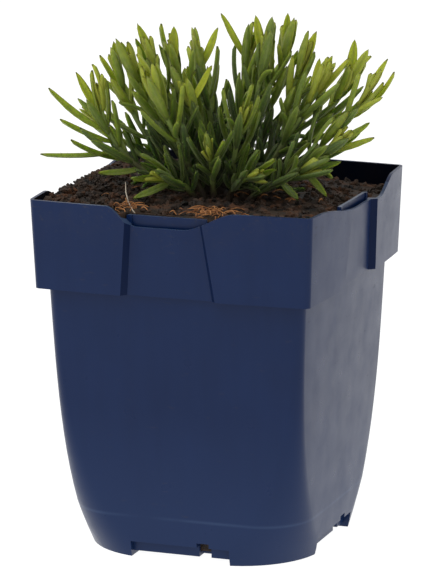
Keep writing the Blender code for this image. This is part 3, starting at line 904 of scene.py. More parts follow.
    def cut(self, pot: Piece) -> None:
        """Cuts all openings from the pot with one Boolean, and removes the cutters.

        Args:
            pot: The uncut pot.
        """
        group = bpy.data.collections.new("pot_cutters")
        bpy.context.scene.collection.children.link(group)
        for quarter in range(4):
            shapes = self.side_cutters(quarter % 2)
            for shape in shapes:
                bmesh.ops.rotate(shape, verts=shape.verts, matrix=Matrix.Rotation(QUARTER * quarter, 3, "Z"))
            for shape in shapes + [self.drain_cutter(QUARTER * (quarter + 0.5))]:
                cutter = new_piece(shape, "pot_cutter")
                bpy.context.scene.collection.objects.unlink(cutter)
                group.objects.link(cutter)
        modifier = pot.modifiers.new("openings", "BOOLEAN")
        modifier.operation = "DIFFERENCE"
        modifier.operand_type = "COLLECTION"
        modifier.collection = group
        modifier.solver = "EXACT"
        bpy.context.view_layer.objects.active = pot
        bpy.ops.object.modifier_apply(modifier=modifier.name)
        for cutter in list(group.objects):
            bpy.data.objects.remove(cutter, do_unlink=True)
        bpy.data.collections.remove(group)

    def bow_sides(self, pot: Piece) -> None:
        """Bows each side outwards in the middle, as the CAD pot's sides are.

        Args:
            pot: The cut pot.
        """
        for vert in pot.data.vertices:
            x, y, z = vert.co
            bow = blend(self.bow_at_foot, self.bow_at_rim, z / self.rim_height) / self.rim_half
            vert.co.x = x * (1 + bow * (1 - (y / self.rim_half) ** 2))
            vert.co.y = y * (1 + bow * (1 - (x / self.rim_half) ** 2))

    def surface_of(self, face: bpy.types.MeshPolygon) -> PotSurface:
        """Picks the finish of a face of the cut pot.

        Args:
            face: The face.

        Returns:
            Painted shade on the inside above the peat, painted shade in the steps beside a panel, a painted
            highlight on the lips, or else clean.
        """
        x, y, z = face.center
        if z < self.shoulder:
            return PotSurface.CLEAN
        along, out = (y, abs(x)) if abs(x) > abs(y) else (x, abs(y))
        # Upward faces of the scoops' lips get the painted highlight
        if face.normal.z > self.lip_turn and z > self.lip_from and abs(along) < self.lip_half:
            return PotSurface.LIP
        outwards = (face.normal.x * x + face.normal.y * y) / math.hypot(x, y)
        behind = out < self.pocket_middle or abs(along) > self.tongue_half
        # Inward faces behind the panels get the painted inner shade
        if outwards < self.shaded_inside_turn and behind:
            return PotSurface.GRIMY
        slanted = abs(face.normal.x * face.normal.y) > self.slanted_turn
        step = self.panel_short[1] - self.panel_step_slope < abs(along) < self.panel_long[0]
        # Steps that face outwards get the painted groove shade
        in_groove = step and slanted and outwards > self.shaded_groove_turn
        return PotSurface.GROOVE if in_groove else PotSurface.CLEAN

    def build(self) -> None:
        """Makes the pot and lets it stand for the CAD node."""
        pot = new_piece(loft(self.skin()), "moulded_pot")
        self.cut(pot)
        for face in pot.data.polygons:
            face.material_index = self.surface_of(face).value
            face.use_smooth = True
        self.bow_sides(pot)
        pot.data.set_sharp_from_angle(angle=self.smooth_below)
        soften = pot.modifiers.new("soft edges", "BEVEL")
        soften.width = self.edge_softness
        soften.segments = 2
        soften.limit_method = "ANGLE"
        soften.angle_limit = self.soften_above
        soften.use_clamp_overlap = True
        soften.harden_normals = True
        # The plain plastic, then painted shade inside, painted shade in the grooves and a painted highlight
        # on the lips
        finishes = (self.finish, self.painted_inner_shade, self.groove, self.lip)
        finish_piece(pot, [finish.material() for finish in finishes])
        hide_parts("pot")


# Peat


@dataclass(frozen=True)
class Tangle:
    """A knot of fibres on the peat: its middle, in millimetres, its spread and its share of all fibres."""

    x: float
    y: float
    spread: float
    share: float


@dataclass
class Peat:
    """The peat: the CAD solid in its own finish, crumbs heaped on it, and fibres."""

    edge_height: float = 106.3 * MM
    dome: float = 2.2 * MM
    lump: float = 0.7 * MM
    rise_to_left: float = 0.06
    rise_to_front: float = 0.03
    reach: float = 45.0 * MM
    waves: tuple[tuple[float, float, float, float], ...] = (
        (0.31, 0.27, 0.5, 0.5),
        (0.31, -0.27, 1.3, 0.5),
        (0.47, -0.36, 0.0, 0.7),
        (0.21, 0.62, 2.0, 0.5),
    )
    seed: int = 41
    sky: float = 0.2
    lowest_hit: float = 0.1
    crumbs: int = 2600
    crumb_reach: float = 42.6 * MM
    smallest: float = 0.35 * MM
    largest: float = 1.6 * MM
    small_power: float = 2.6
    stretches: tuple[Pair, Pair, Pair] = ((0.7, 1.3), (0.6, 1.0), (0.45, 0.8))
    roughness: float = 0.28
    heap: float = 1.5 * MM
    # Where the left and front heaps start and how far they rise, in millimetres from the middle
    left_heap_from: float = 12.0
    left_heap_over: float = 26.0
    front_heap_from: float = 20.0
    front_heap_over: float = 20.0
    tongue_reach: float = 39.3 * MM
    tongue_half: float = 17.5 * MM
    tongue_top: float = 108.6 * MM
    bank_crumbs: int = 1100
    bank_height: float = 111.6 * MM
    bank_reach: float = 31.0 * MM
    bank_wall: float = 43.4 * MM
    bank_sag: float = 1.6 * MM
    # Half length of the bank and sizes of its crumbs, in millimetres
    bank_half: float = 34.0
    bank_sizes: Pair = (0.5, 1.3)
    fibres: int = 110
    fibre_steps: int = 7
    fibre_bend: float = 0.45
    # Reach, lengths, rises, lifts and radii of the fibres, in millimetres
    fibre_reach: float = 38.0
    fibre_lengths: Pair = (2.0, 5.5)
    fibre_rises: Pair = (0.2, 1.0)
    fibre_lifts: Pair = (0.6, 2.6)
    fibre_radii: Pair = (0.10, 0.24)
    tangles: tuple[Tangle, ...] = (
        Tangle(-14.5, -40.0, 2.2, 0.24),
        Tangle(11.5, -39.2, 5.5, 0.50),
        Tangle(30.0, -10.0, 12.0, 0.10),
    )
    # One pale root that stands up behind the front rim: its places and radii, in millimetres
    pale_root: tuple[Triple, ...] = (
        (-11.0, -41.4, 107.6),
        (-12.8, -41.2, 109.6),
        (-14.4, -40.8, 112.0),
        (-15.4, -40.2, 114.8),
        (-15.8, -39.4, 117.6),
    )
    root_radii: tuple[float, ...] = (0.16, 0.20, 0.20, 0.18, 0.12)
    finish: MoistPeat = MoistPeat()
    fibre_finish: Fibre = Fibre()
    root_finish: Fibre = Fibre("pale root", (0.20, 0.15, 0.10), (0.46, 0.40, 0.32))

    def height(self, x: float, y: float) -> float:
        """Height of the CAD peat's surface by its formula.

        Args:
            x: Place to the right.
            y: Place to the back.

        Returns:
            The height above the pot's base.
        """
        dome = self.dome * (1 - (x * x + y * y) / self.reach**2)
        heap = self.rise_to_left * max(0.0, -x) + self.rise_to_front * max(0.0, -y)
        lumps = sum(
            share * math.sin((across * x + along * y) / MM + phase)
            for across, along, phase, share in self.waves
        )
        return self.edge_height + dome + heap + self.lump * lumps

    def dress_solid(self) -> BVHTree:
        """Gives the CAD peat its finish.

        Returns:
            A tree of its surface, for setting crumbs on it.
        """
        soil = frame["nodes"]["soil"]
        material = self.finish.material()
        for slot in soil.material_slots:
            slot.material = material
        points = [vert.co.copy() for vert in soil.data.vertices]
        return BVHTree.FromPolygons(points, [tuple(face.vertices) for face in soil.data.polygons])

    def ground(self, surface: BVHTree, x: float, y: float) -> Vector | None:
        """Finds the peat below a place.

        Args:
            surface: Tree of the peat's surface.
            x: Place to the right.
            y: Place to the back.

        Returns:
            The point of the surface, or None where there is none.
        """
        hit = surface.ray_cast(Vector((x, y, self.sky)), -UP)[0]
        return None if hit is None or hit.z < self.lowest_hit else hit

    def inside(self, x: float, y: float) -> bool:
        """Whether a place lies inside the pot's wall and clear of its tongues.

        Args:
            x: Place to the right.
            y: Place to the back.

        Returns:
            True where a crumb may lie.
        """
        for along, out in ((x, y), (y, x)):
            if abs(along) < self.tongue_half and abs(out) > self.tongue_reach:
                return False
        return max(abs(x), abs(y)) < self.crumb_reach

    def crumb(self, draw: random.Random, place: Vector, size: float) -> Shape:
        """One angular crumb.

        Args:
            draw: Source of its shape.
            place: Its middle.
            size: Its half length.

        Returns:
            The crumb.
        """
        bm = bmesh.new()
        angle = draw.uniform(0, math.pi)
        turn = Matrix.Rotation(angle, 4, Vector([draw.uniform(-1, 1) for _ in range(3)]).normalized())
        shape = Matrix.Diagonal([draw.uniform(*stretch) for stretch in self.stretches] + [1.0])
        matrix = Matrix.Translation(place) @ turn @ shape
        bmesh.ops.create_icosphere(bm, subdivisions=1, radius=size, matrix=matrix)
        for vert in bm.verts:
            vert.co += (vert.co - place) * draw.uniform(-self.roughness, self.roughness)
        return bm

    def bank_crumb(self, draw: random.Random) -> Shape:
        """One crumb of the bank that fills the left side up to its rim, over the tongue.

        Args:
            draw: Source of its place and shape.

        Returns:
            The crumb.
        """
        inwards = draw.random() ** 1.4
        x = blend(-self.bank_wall, -self.bank_reach, inwards)
        y = draw.uniform(-self.bank_half, self.bank_half) * MM
        top = blend(self.bank_height, self.height(-self.bank_reach, y), inwards**1.3)
        top -= self.bank_sag * (abs(y) / (self.bank_half * MM)) ** 3
        foot = self.tongue_top if x < -self.tongue_reach else self.height(x, y)
        size = draw.uniform(*self.bank_sizes) * MM
        height = blend(min(foot, top), top, draw.random() ** 0.6) - 0.4 * size
        return self.crumb(draw, Vector((x, y, height)), size)

    def build_crumbs(self, surface: BVHTree) -> None:
        """Strews crumbs over the peat, heaped higher at the left and front.

        Args:
            surface: Tree of the peat's surface.
        """
        draw = random.Random(self.seed)
        parts = []
        for _ in range(self.crumbs):
            x = draw.uniform(-self.crumb_reach, self.crumb_reach)
            y = draw.uniform(-self.crumb_reach, self.crumb_reach)
            size = blend(self.smallest, self.largest, draw.random() ** self.small_power)
            lift = draw.random()
            hit = self.ground(surface, x, y) if self.inside(x, y) else None
            if hit is None:
                continue
            left = clamp((-x / MM - self.left_heap_from) / self.left_heap_over)
            front = clamp((-y / MM - self.front_heap_from) / self.front_heap_over)
            heaped = self.heap * max(left, 0.5 * front) * lift
            parts.append(self.crumb(draw, hit + UP * (0.15 * size + heaped), size))
        parts += [self.bank_crumb(draw) for _ in range(self.bank_crumbs)]
        finish_piece(new_piece(join_meshes(parts), "peat_crumbs"), [self.finish.material()])

    def fibre(self, draw: random.Random, start: Vector, heading: float, length: float, rise: float) -> Shape:
        """One thin curved fibre that lies on the peat.

        Args:
            draw: Source of its bends.
            start: One end.
            heading: Its direction round the pot, in radians.
            length: Its length.
            rise: How far its middle stands up.

        Returns:
            The fibre.
        """
        path = [start.copy()]
        steps = self.fibre_steps
        for step in range(steps):
            heading += draw.uniform(-self.fibre_bend, self.fibre_bend)
            climb = math.cos(math.pi * (step + 0.5) / steps) * rise * math.pi / steps
            move = Vector((math.cos(heading), math.sin(heading), 0)) * (length / steps) + UP * climb
            path.append(path[-1] + move)
        thick = draw.uniform(*self.fibre_radii) * MM
        radii = [thick * (1.0 - 0.5 * abs(2 * i / steps - 1) ** 2) for i in range(steps + 1)]
        return tube(path, radii, 4)

    def build_fibres(self, surface: BVHTree) -> None:
        """Lays russet fibres along the front rim, and fewer elsewhere, and one pale root.

        Args:
            surface: Tree of the peat's surface.
        """
        draw = random.Random(self.seed + 1)
        parts = []
        for _ in range(self.fibres):
            pick = draw.random()
            x = draw.uniform(-self.fibre_reach, self.fibre_reach)
            y = draw.uniform(-self.fibre_reach, self.fibre_reach)
            for tangle in self.tangles:
                if 0 <= pick < tangle.share:
                    x = tangle.x + draw.gauss(0, tangle.spread)
                    y = tangle.y + draw.gauss(0, 1.2)
                pick -= tangle.share
            if max(abs(x), abs(y)) * MM > self.crumb_reach - 0.6 * MM:
                continue
            hit = self.ground(surface, x * MM, y * MM) or Vector((x * MM, y * MM, self.tongue_top))
            heading = draw.uniform(0, 2 * math.pi)
            start = hit + UP * draw.uniform(*self.fibre_lifts) * MM
            length, rise = (draw.uniform(*sizes) * MM for sizes in (self.fibre_lengths, self.fibre_rises))
            parts.append(self.fibre(draw, start, heading, length, rise))
        root = [Vector(point) * MM for point in self.pale_root]
        parts.append(tube(root, [radius * MM for radius in self.root_radii], 6))
        for face in parts[-1].faces:
            face.material_index = 1
        materials = [self.fibre_finish.material(), self.root_finish.material()]
        finish_piece(new_piece(join_meshes(parts), "peat_fibres"), materials)

    def build(self) -> None:
        """Dresses the peat and lays its crumbs and fibres."""
        surface = self.dress_solid()
        self.build_crumbs(surface)
        self.build_fibres(surface)


# Leafy stems


class LeafKind(Enum):
    """Where a leaf grows, with the tone that it starts from and how far tone rises towards the tip."""

    SIDE = (0.34, 0.38)
    # Marked outer leaves start lighter: painted light where they stand out in the light
    MARKED = (0.66, 0.25)
    HEART = (0.90, 0.30)
    # Low leaves start darkest: old leaves, and painted shade under the plant
    LOW = (0.02, 0.30)

    def tone(self, share: float) -> float:
        """Tone of a leaf this share of the way up its stem."""
        start, rise = self.value
        return start + rise * share


# A curl below this, in radians, is none
STRAIGHT = 0.0001


@dataclass(frozen=True)
class Shoot:
    """One leafy stem: foot (across, forward), tip and bend (across, forward, height), in millimetres."""

    foot: Pair
    tip: Triple
    bend: Triple
    leaves: int
    size: float


@dataclass(frozen=True)
class Leaf:
    """A leaf's own frame: where it starts and points, its upper side, length, width and curl."""

    root: Vector
    heading: Vector
    upper: Vector
    length: float
    width: float
    curl: float
    kind: LeafKind = LeafKind.SIDE
    share: float = 0.5

    def station(self, share: float) -> tuple[Vector, Vector, Vector]:
        """Follows the leaf's curve.

        Args:
            share: How far along the leaf, from 0 at its root to 1 at its tip.

        Returns:
            Centre, sideways direction and upper side there.
        """
        turn = self.curl * share
        if abs(self.curl) < STRAIGHT:
            travel = self.heading * share
        else:
            travel = (self.heading * math.sin(turn) + self.upper * (1 - math.cos(turn))) / self.curl
        heading = self.heading * math.cos(turn) + self.upper * math.sin(turn)
        upper = self.upper * math.cos(turn) - self.heading * math.sin(turn)
        return self.root + travel * self.length, heading.cross(upper), upper


SHOOTS = (
    Shoot((-11, 7), (-36.5, 8, 139.5), (-12, 1, -9), 12, 1.0),
    Shoot((-8.5, 2.5), (-31, 3, 145), (-6, 0, -4), 12, 1.0),
    Shoot((-6, 6), (-26.5, 6, 147.5), (-3, 0, -1), 12, 1.0),
    Shoot((-4.5, 2), (-21, 0, 150), (-2, 0, 1), 12, 1.0),
    Shoot((-5, 11), (-19.5, 15, 142), (-2, 2, 1), 12, 1.02),
    Shoot((-2.5, -2), (-14.5, -4, 149), (-1, 0, 1), 12, 1.0),
    Shoot((0.5, -5), (-6.5, -7, 149), (0, 0, 1), 12, 1.0),
    Shoot((-0.5, 4.5), (-10, 8, 137.5), (1, 0, 0), 10, 1.0),
    Shoot((4, -1.5), (8.5, -4, 150), (0, 0, 1), 12, 1.0),
    Shoot((5.5, 3.5), (14, 2, 152.5), (1, 0, 1), 12, 1.0),
    Shoot((8.5, -2.5), (20.5, -4, 151), (1.5, 0, 1), 12, 1.0),
    Shoot((10, 1.5), (25.5, 1, 148), (1.5, 0, 1), 11, 1.0),
    Shoot((3.5, 9.5), (6.5, 16, 132), (-1, 1, 1), 11, 1.0),
    Shoot((9.5, 5.5), (31, 5, 142), (2, 1, 1), 11, 1.0),
    Shoot((7, 11), (45, 7, 140), (4, 3, -9), 11, 0.95),
    Shoot((12, 7), (34, 14, 124.5), (1, 1, -3), 10, 0.95),
    Shoot((12.5, -3.5), (41, -2, 143.5), (3, 0, -4), 12, 1.0),
    Shoot((9, 15.5), (25, 20, 118), (1, 1, -1), 8, 0.85),
    Shoot((3, 15), (9, 25, 117), (0, 1, 0), 8, 0.85),
    Shoot((-2, 13), (-3, 20, 122), (0, 1, 1), 10, 0.92),
    Shoot((-8, 12.5), (-15.5, 18.5, 115.5), (0, 1, 0), 8, 0.9),
    Shoot((-7.5, -8), (-23, -20, 138), (-1, -1, 0), 10, 1.0),
    Shoot((-1.5, -10), (-6, -24, 139), (0, -1, 1), 10, 1.0),
    Shoot((4.5, -8), (14, -22, 140), (1, -1, 1), 10, 1.0),
    Shoot((10.5, -9), (29, -19, 136), (1, -1, -1), 10, 1.0),
    Shoot((-11.5, -3), (-36, -11, 127), (-2, -1, -2), 9, 0.95),
    Shoot((-4, -14.5), (-13, -34, 123), (0, -2, -2), 9, 0.95),
    Shoot((3, -14), (10, -36, 124), (1, -2, -2), 9, 0.95),
)

# Side leaves that stand out alone: number of the shoot, how far up it, tip (across, forward, height),
# width and curl. In millimetres and degrees.
MARKED_LEAVES = (
    (1, 0.3, (-37.5, 5, 115.5), 3.4, 20),
    (1, 0.42, (-45.5, 11, 127), 2.8, 45),
    (1, 0.52, (-55, 8, 122), 2.4, 25),
    (1, 0.6, (-48.8, 9, 133), 3.0, 30),
    (1, 0.7, (-52.2, 8, 142.5), 3.4, 40),
    (1, 0.82, (-43.9, 6, 147), 3.4, 15),
    (2, 0.95, (-32.4, 3, 156), 3.4, 8),
    (3, 0.95, (-28, 6, 156.5), 3.4, 8),
    (6, 0.95, (-14, -4, 159.5), 3.4, 8),
    (7, 0.9, (-0.5, -7, 158.5), 3.2, 12),
    (8, 0.95, (-2.5, 10, 149.5), 3.2, 15),
    (9, 0.96, (0.5, -3, 163.5), 3.0, 10),
    (10, 0.92, (11, 1, 163.5), 3.4, 8),
    (11, 0.95, (21, -4, 163.5), 3.2, 10),
    (14, 0.95, (34.3, 5, 151.5), 3.2, 20),
    (14, 0.84, (30.6, 3, 150.5), 3.0, 10),
    (15, 0.8, (53.1, 8, 147), 2.4, 70),
    (15, 0.9, (51.3, 5, 150.5), 3.0, 8),
    (16, 0.9, (47.1, 10, 127), 3.4, 20),
    (16, 0.55, (32.5, 15, 109.5), 3.0, -15),
    (17, 0.95, (41.5, -2, 155.5), 3.4, 8),
    (18, 0.55, (23.5, 26, 111), 3.0, 10),
    (21, 0.8, (-26.4, 22, 110.8), 3.6, 10),
)


@dataclass
class GrowthRule:
    """How the stems stand and how their leaves are placed: the same rule and draws as the CAD plant's."""

    peat: Peat
    turn: float = math.radians(20.3)
    stem_radius: float = 1.0 * MM
    tip_radius: float = 0.62 * MM
    stem_sides: int = 5
    stem_steps: int = 5
    root_depth: float = 8.0 * MM
    stem_rise: float = 1.2 * MM
    stem_lift: float = 3.0 * MM
    golden_turn: float = math.radians(137.5)
    leaf_length: float = 18.0 * MM
    leaf_width: float = 3.5 * MM
    keel: float = 0.72 * MM
    groove: float = 0.18 * MM
    edge_lift: float = 0.5 * MM
    tip_lift: float = 0.25 * MM
    stations: tuple[Pair, ...] = ((0.28, 0.95), (0.78, 0.88))
    gap: float = 0.3 * MM
    clear_of_rim: float = 2.0 * MM
    clear_of_soil: float = 1.0 * MM
    rim_zone: float = 8.0 * MM
    soil_zone: float = 3.0 * MM
    rim_half: float = 45.0 * MM
    rim_height: float = 111.5 * MM
    lowest: float = 0.14
    highest: float = 0.98
    spread_low: float = 56.0
    spread_high: float = 13.0
    spread_draw: float = 7.0
    spread_power: float = 1.2
    turn_draw: float = 0.25
    towards_tip: float = 0.75
    tip_length: float = 0.8
    shortening_power: float = 2
    free_from: float = 0.2
    face_forward: float = 0.6
    upward: float = 0.32
    curl_least: float = 6.0
    curl_most: float = 38.0
    size_draw: Pair = (0.86, 1.1)
    try_turns: tuple[float, ...] = (0, 13, -13, 26, -26, 40, -40)
    try_lifts: tuple[float, ...] = (0, -9, 9)
    try_lengths: tuple[float, ...] = (1.0, 0.86, 0.72)
    low_below: float = 0.3
    least_upper: float = 0.05
    seed: int = 7

    def __post_init__(self) -> None:
        """Sets up the stems, their marked leaves and what other leaves have to clear."""
        self.draw = random.Random(self.seed)
        self.faces = self.leaf_faces()
        self.stems = [self.stem_path(shoot) for shoot in SHOOTS]
        self.obstacles: list[tuple[int, Vector, float, BVHTree]] = []
        for owner, (path, _) in enumerate(self.stems):
            self.add_obstacle(owner, *self.tube_shape(path))
        self.marked: list[list[Leaf]] = [[] for _ in SHOOTS]
        for owner, at, tip, width, curl in MARKED_LEAVES:
            root = self.curve_point(*self.stems[owner - 1][1], at)
            end = self.plant_point(tip[0], tip[1], tip[2] * MM)
            leaf = self.marked_leaf(root, end, width * MM, math.radians(curl), at)
            self.marked[owner - 1].append(leaf)
            self.add_obstacle(owner - 1, self.corners(leaf), self.faces)

    def plant_point(self, across: float, forward: float, height: float) -> Vector:
        """A place on the plant, in the pot's frame."""
        return Matrix.Rotation(self.turn, 3, "Z") @ Vector((across * MM, -forward * MM, height))

    def stem_path(self, shoot: Shoot) -> tuple[Outline, Curve]:
        """Lays out one stem.

        Args:
            shoot: The stem.

        Returns:
            Its centre line from its root up, and the curve that it follows above the peat.
        """
        ground = self.plant_point(shoot.foot[0], shoot.foot[1], 0.0)
        surface = self.peat.height(ground.x, ground.y)
        start = Vector((ground.x, ground.y, surface + self.stem_rise))
        end = self.plant_point(shoot.tip[0], shoot.tip[1], shoot.tip[2] * MM)
        lean = self.plant_point(shoot.bend[0], shoot.bend[1], shoot.bend[2] * MM)
        control = (start + end) / 2 + Vector((0, 0, self.stem_lift)) + lean
        path = [Vector((ground.x, ground.y, surface - self.root_depth)), start]
        curve = (start, control, end)
        path += [self.curve_point(*curve, (i + 1) / self.stem_steps) for i in range(self.stem_steps)]
        return path, curve

    @staticmethod
    def curve_point(start: Vector, control: Vector, end: Vector, share: float) -> Vector:
        """A point of the stem's curve."""
        near = start.lerp(control, share)
        return near.lerp(control.lerp(end, share), share)

    @staticmethod
    def curve_direction(start: Vector, control: Vector, end: Vector, share: float) -> Vector:
        """Direction of the stem's curve."""
        return (control - start).lerp(end - control, share).normalized()

    def tube_shape(self, path: Outline) -> tuple[Outline, list[list[int]]]:
        """A stem with a pointed top, grown by the gap.

        Args:
            path: Its centre line.

        Returns:
            Its points and triangles.
        """
        last = len(path) - 1
        across = Vector((1, 0, 0))
        points = []
        for index, point in enumerate(path[:-1]):
            ahead = (path[index + 1] - path[max(index - 1, 0)]).normalized()
            across = (across - ahead * across.dot(ahead)).normalized()
            side = ahead.cross(across)
            radius = blend(self.stem_radius, self.tip_radius, max(0, index - 1) / (last - 1)) + self.gap
            for corner in range(self.stem_sides):
                angle = 2 * math.pi * corner / self.stem_sides
                points.append(point + (across * math.cos(angle) + side * math.sin(angle)) * radius)
        points.append(path[-1])
        faces = []
        for index in range(last):
            low = index * self.stem_sides
            for i in range(self.stem_sides):
                j = (i + 1) % self.stem_sides
                high = low + self.stem_sides
                if index == last - 1:
                    faces.append([low + i, low + j, len(points) - 1])
                else:
                    faces += [[low + i, low + j, high + j], [low + i, high + j, high + i]]
        return points, faces

    def corners(self, leaf: Leaf, grown: float = 0.0, start: float = 0.0) -> Outline:
        """Corner points of the CAD blade.

        Args:
            leaf: The leaf.
            grown: How much larger it's made all round.
            start: Share of its length where it starts.

        Returns:
            Its root, the four corners of each station and its tip.
        """
        points = [leaf.station(start)[0]]
        for share, fullness in self.stations:
            centre, side, upper = leaf.station(share)
            half = leaf.width * fullness / 2 + grown
            points.append(centre - side * half + upper * self.edge_lift)
            points.append(centre - upper * (self.keel + grown))
            points.append(centre + side * half + upper * self.edge_lift)
            points.append(centre + upper * (self.groove + grown))
        tip, _, upper = leaf.station(1.0 + grown / leaf.length)
        points.append(tip + upper * self.tip_lift)
        return points

    def leaf_faces(self) -> list[tuple[int, int, int]]:
        """Joins the corners of the CAD blade.

        Returns:
            The corner numbers of each triangle.
        """
        faces = []
        last = 4 * len(self.stations) - 3
        for i in range(4):
            j = (i + 1) % 4
            faces.append((0, 1 + j, 1 + i))
            for first in range(1, last, 4):
                faces.append((first + i, first + j, first + 4 + j))
                faces.append((first + i, first + 4 + j, first + 4 + i))
            faces.append((last + i, last + j, last + 4))
        return faces

    @staticmethod
    def extent(points: Outline) -> tuple[Vector, float]:
        """Middle of some points, and how far the farthest lies from it."""
        middle = sum(points, Vector()) / len(points)
        return middle, max((point - middle).length for point in points)

    def add_obstacle(self, owner: int, points: Outline, faces: Sequence[Sequence[int]]) -> None:
        """Keeps a shape that later leaves have to clear.

        Args:
            owner: Number of its stem.
            points: Its points.
            faces: The point numbers of its triangles.
        """
        tree = BVHTree.FromPolygons(points, faces, all_triangles=True)
        self.obstacles.append((owner, *self.extent(points), tree))

    def stands_clear(self, points: Iterable[Vector]) -> bool:
        """Whether a leaf keeps off the peat and the pot's rim.

        Args:
            points: Its corner points.

        Returns:
            True when all of them lie above the peat and clear of the rim.
        """
        for p in points:
            out = max(abs(p.x), abs(p.y))
            over_soil = out < self.rim_half - self.soil_zone
            if over_soil and p.z < self.peat.height(p.x, p.y) + self.clear_of_soil:
                return False
            if out >= self.rim_half - self.rim_zone and p.z < self.rim_height + self.clear_of_rim:
                return False
        return True

    def blocked(self, owner: int, leaf: Leaf) -> bool:
        """Whether a leaf can't grow here.

        Args:
            owner: Number of its stem.
            leaf: The leaf.

        Returns:
            True when it crosses another stem or its leaves, or its free part crosses a leaf of its own stem,
            or it touches the peat or the rim.
        """
        own_stem = self.obstacles[owner][3]
        wide = self.corners(leaf, grown=self.gap)
        free = self.corners(leaf, start=self.free_from)
        middle, reach = self.extent(wide)
        tests = {
            True: BVHTree.FromPolygons(free, self.faces, all_triangles=True),
            False: BVHTree.FromPolygons(wide, self.faces, all_triangles=True),
        }
        for other, centre, radius, tree in self.obstacles:
            if tree is own_stem or (centre - middle).length > reach + radius:
                continue
            if tests[other == owner].overlap(tree):
                return True
        return not self.stands_clear(wide[1:])

    def leaf_on(self, root: Vector, axis: Vector, spread: float, around: float, size: Triple) -> Leaf:
        """A leaf at this place on a stem that runs along axis.

        Args:
            root: Where it grows from the stem.
            axis: Direction of the stem there.
            spread: Its angle from the stem.
            around: Its place round the stem.
            size: Its length, width and curl.

        Returns:
            The leaf.
        """
        out = axis.orthogonal().normalized()
        out.rotate(Matrix.Rotation(around, 3, axis))
        heading = axis * math.cos(spread) + out * math.sin(spread) + Vector((0, 0, self.upward))
        heading.normalize()
        upper = axis - heading * axis.dot(heading)
        if upper.length < self.least_upper:
            upper = UP - heading * heading.z
        return Leaf(root, heading, upper.normalized(), *size)

    def marked_leaf(self, root: Vector, tip: Vector, width: float, curl: float, at: float) -> Leaf:
        """A leaf between two places, its upper side turned up and a little forward.

        Args:
            root: Where it grows from the stem.
            tip: Where its tip is.
            width: Its width.
            curl: How far it curls along its length, in radians.
            at: How far up the stem it grows.

        Returns:
            The leaf.
        """
        chord = tip - root
        faced = self.plant_point(0.0, self.face_forward, MM)
        upper = (faced - chord * (chord.dot(faced) / chord.length_squared)).normalized()
        half = curl / 2
        heading = chord.normalized() * math.cos(half) - upper * math.sin(half)
        upper = upper * math.cos(half) + chord.normalized() * math.sin(half)
        length = chord.length * half / math.sin(half)
        return Leaf(root, heading, upper, length, width, curl, LeafKind.MARKED, at)

    def grow(self, owner: int) -> list[Leaf]:
        """Grows the leaves that the CAD stem has, from its foot to its tip.

        Args:
            owner: Number of the stem.

        Returns:
            Its leaves.
        """
        shoot = SHOOTS[owner]
        _, curve = self.stems[owner]
        phase = self.draw.uniform(0, 2 * math.pi)
        leaves = list(self.marked[owner])
        for index in range(shoot.leaves):
            share = index / (shoot.leaves - 1)
            at = blend(self.lowest, self.highest, share**self.towards_tip)
            axis = self.curve_direction(*curve, at)
            spread = blend(self.spread_low, self.spread_high, share**self.spread_power)
            spread += self.draw.uniform(-self.spread_draw, self.spread_draw)
            around = phase + index * self.golden_turn + self.draw.uniform(-self.turn_draw, self.turn_draw)
            shortening = blend(1.0, self.tip_length, share**self.shortening_power)
            length = self.leaf_length * shoot.size * shortening * self.draw.uniform(*self.size_draw)
            width = self.leaf_width * shoot.size * self.draw.uniform(*self.size_draw)
            curl = math.radians(self.draw.uniform(self.curl_least, self.curl_most))
            root = self.curve_point(*curve, at)
            leaf = self.first_clear(owner, root, axis, spread, around, (length, width, curl))
            if leaf is not None:
                kind = LeafKind.LOW if at < self.low_below else LeafKind.SIDE
                leaves.append(replace(leaf, kind=kind, share=at))
                self.add_obstacle(owner, self.corners(leaf), self.faces)
        return leaves

    def first_clear(
        self, owner: int, root: Vector, axis: Vector, spread: float, around: float, size: Triple
    ) -> Leaf | None:
        """Turns, lifts or shortens a leaf until it crosses nothing.

        Args:
            owner: Number of its stem.
            root: Where it grows from the stem.
            axis: Direction of the stem there.
            spread: Its angle from the stem, in degrees.
            around: Its place round the stem, in radians.
            size: Its length, width and curl.

        Returns:
            The first leaf that is clear, or None.
        """
        length, width, curl = size
        for stretch in self.try_lengths:
            for lift in self.try_lifts:
                for turn in self.try_turns:
                    angle = math.radians(spread + lift)
                    place = around + math.radians(turn)
                    leaf = self.leaf_on(root, axis, angle, place, (length * stretch, width, curl))
                    if not self.blocked(owner, leaf):
                        return leaf
        return None


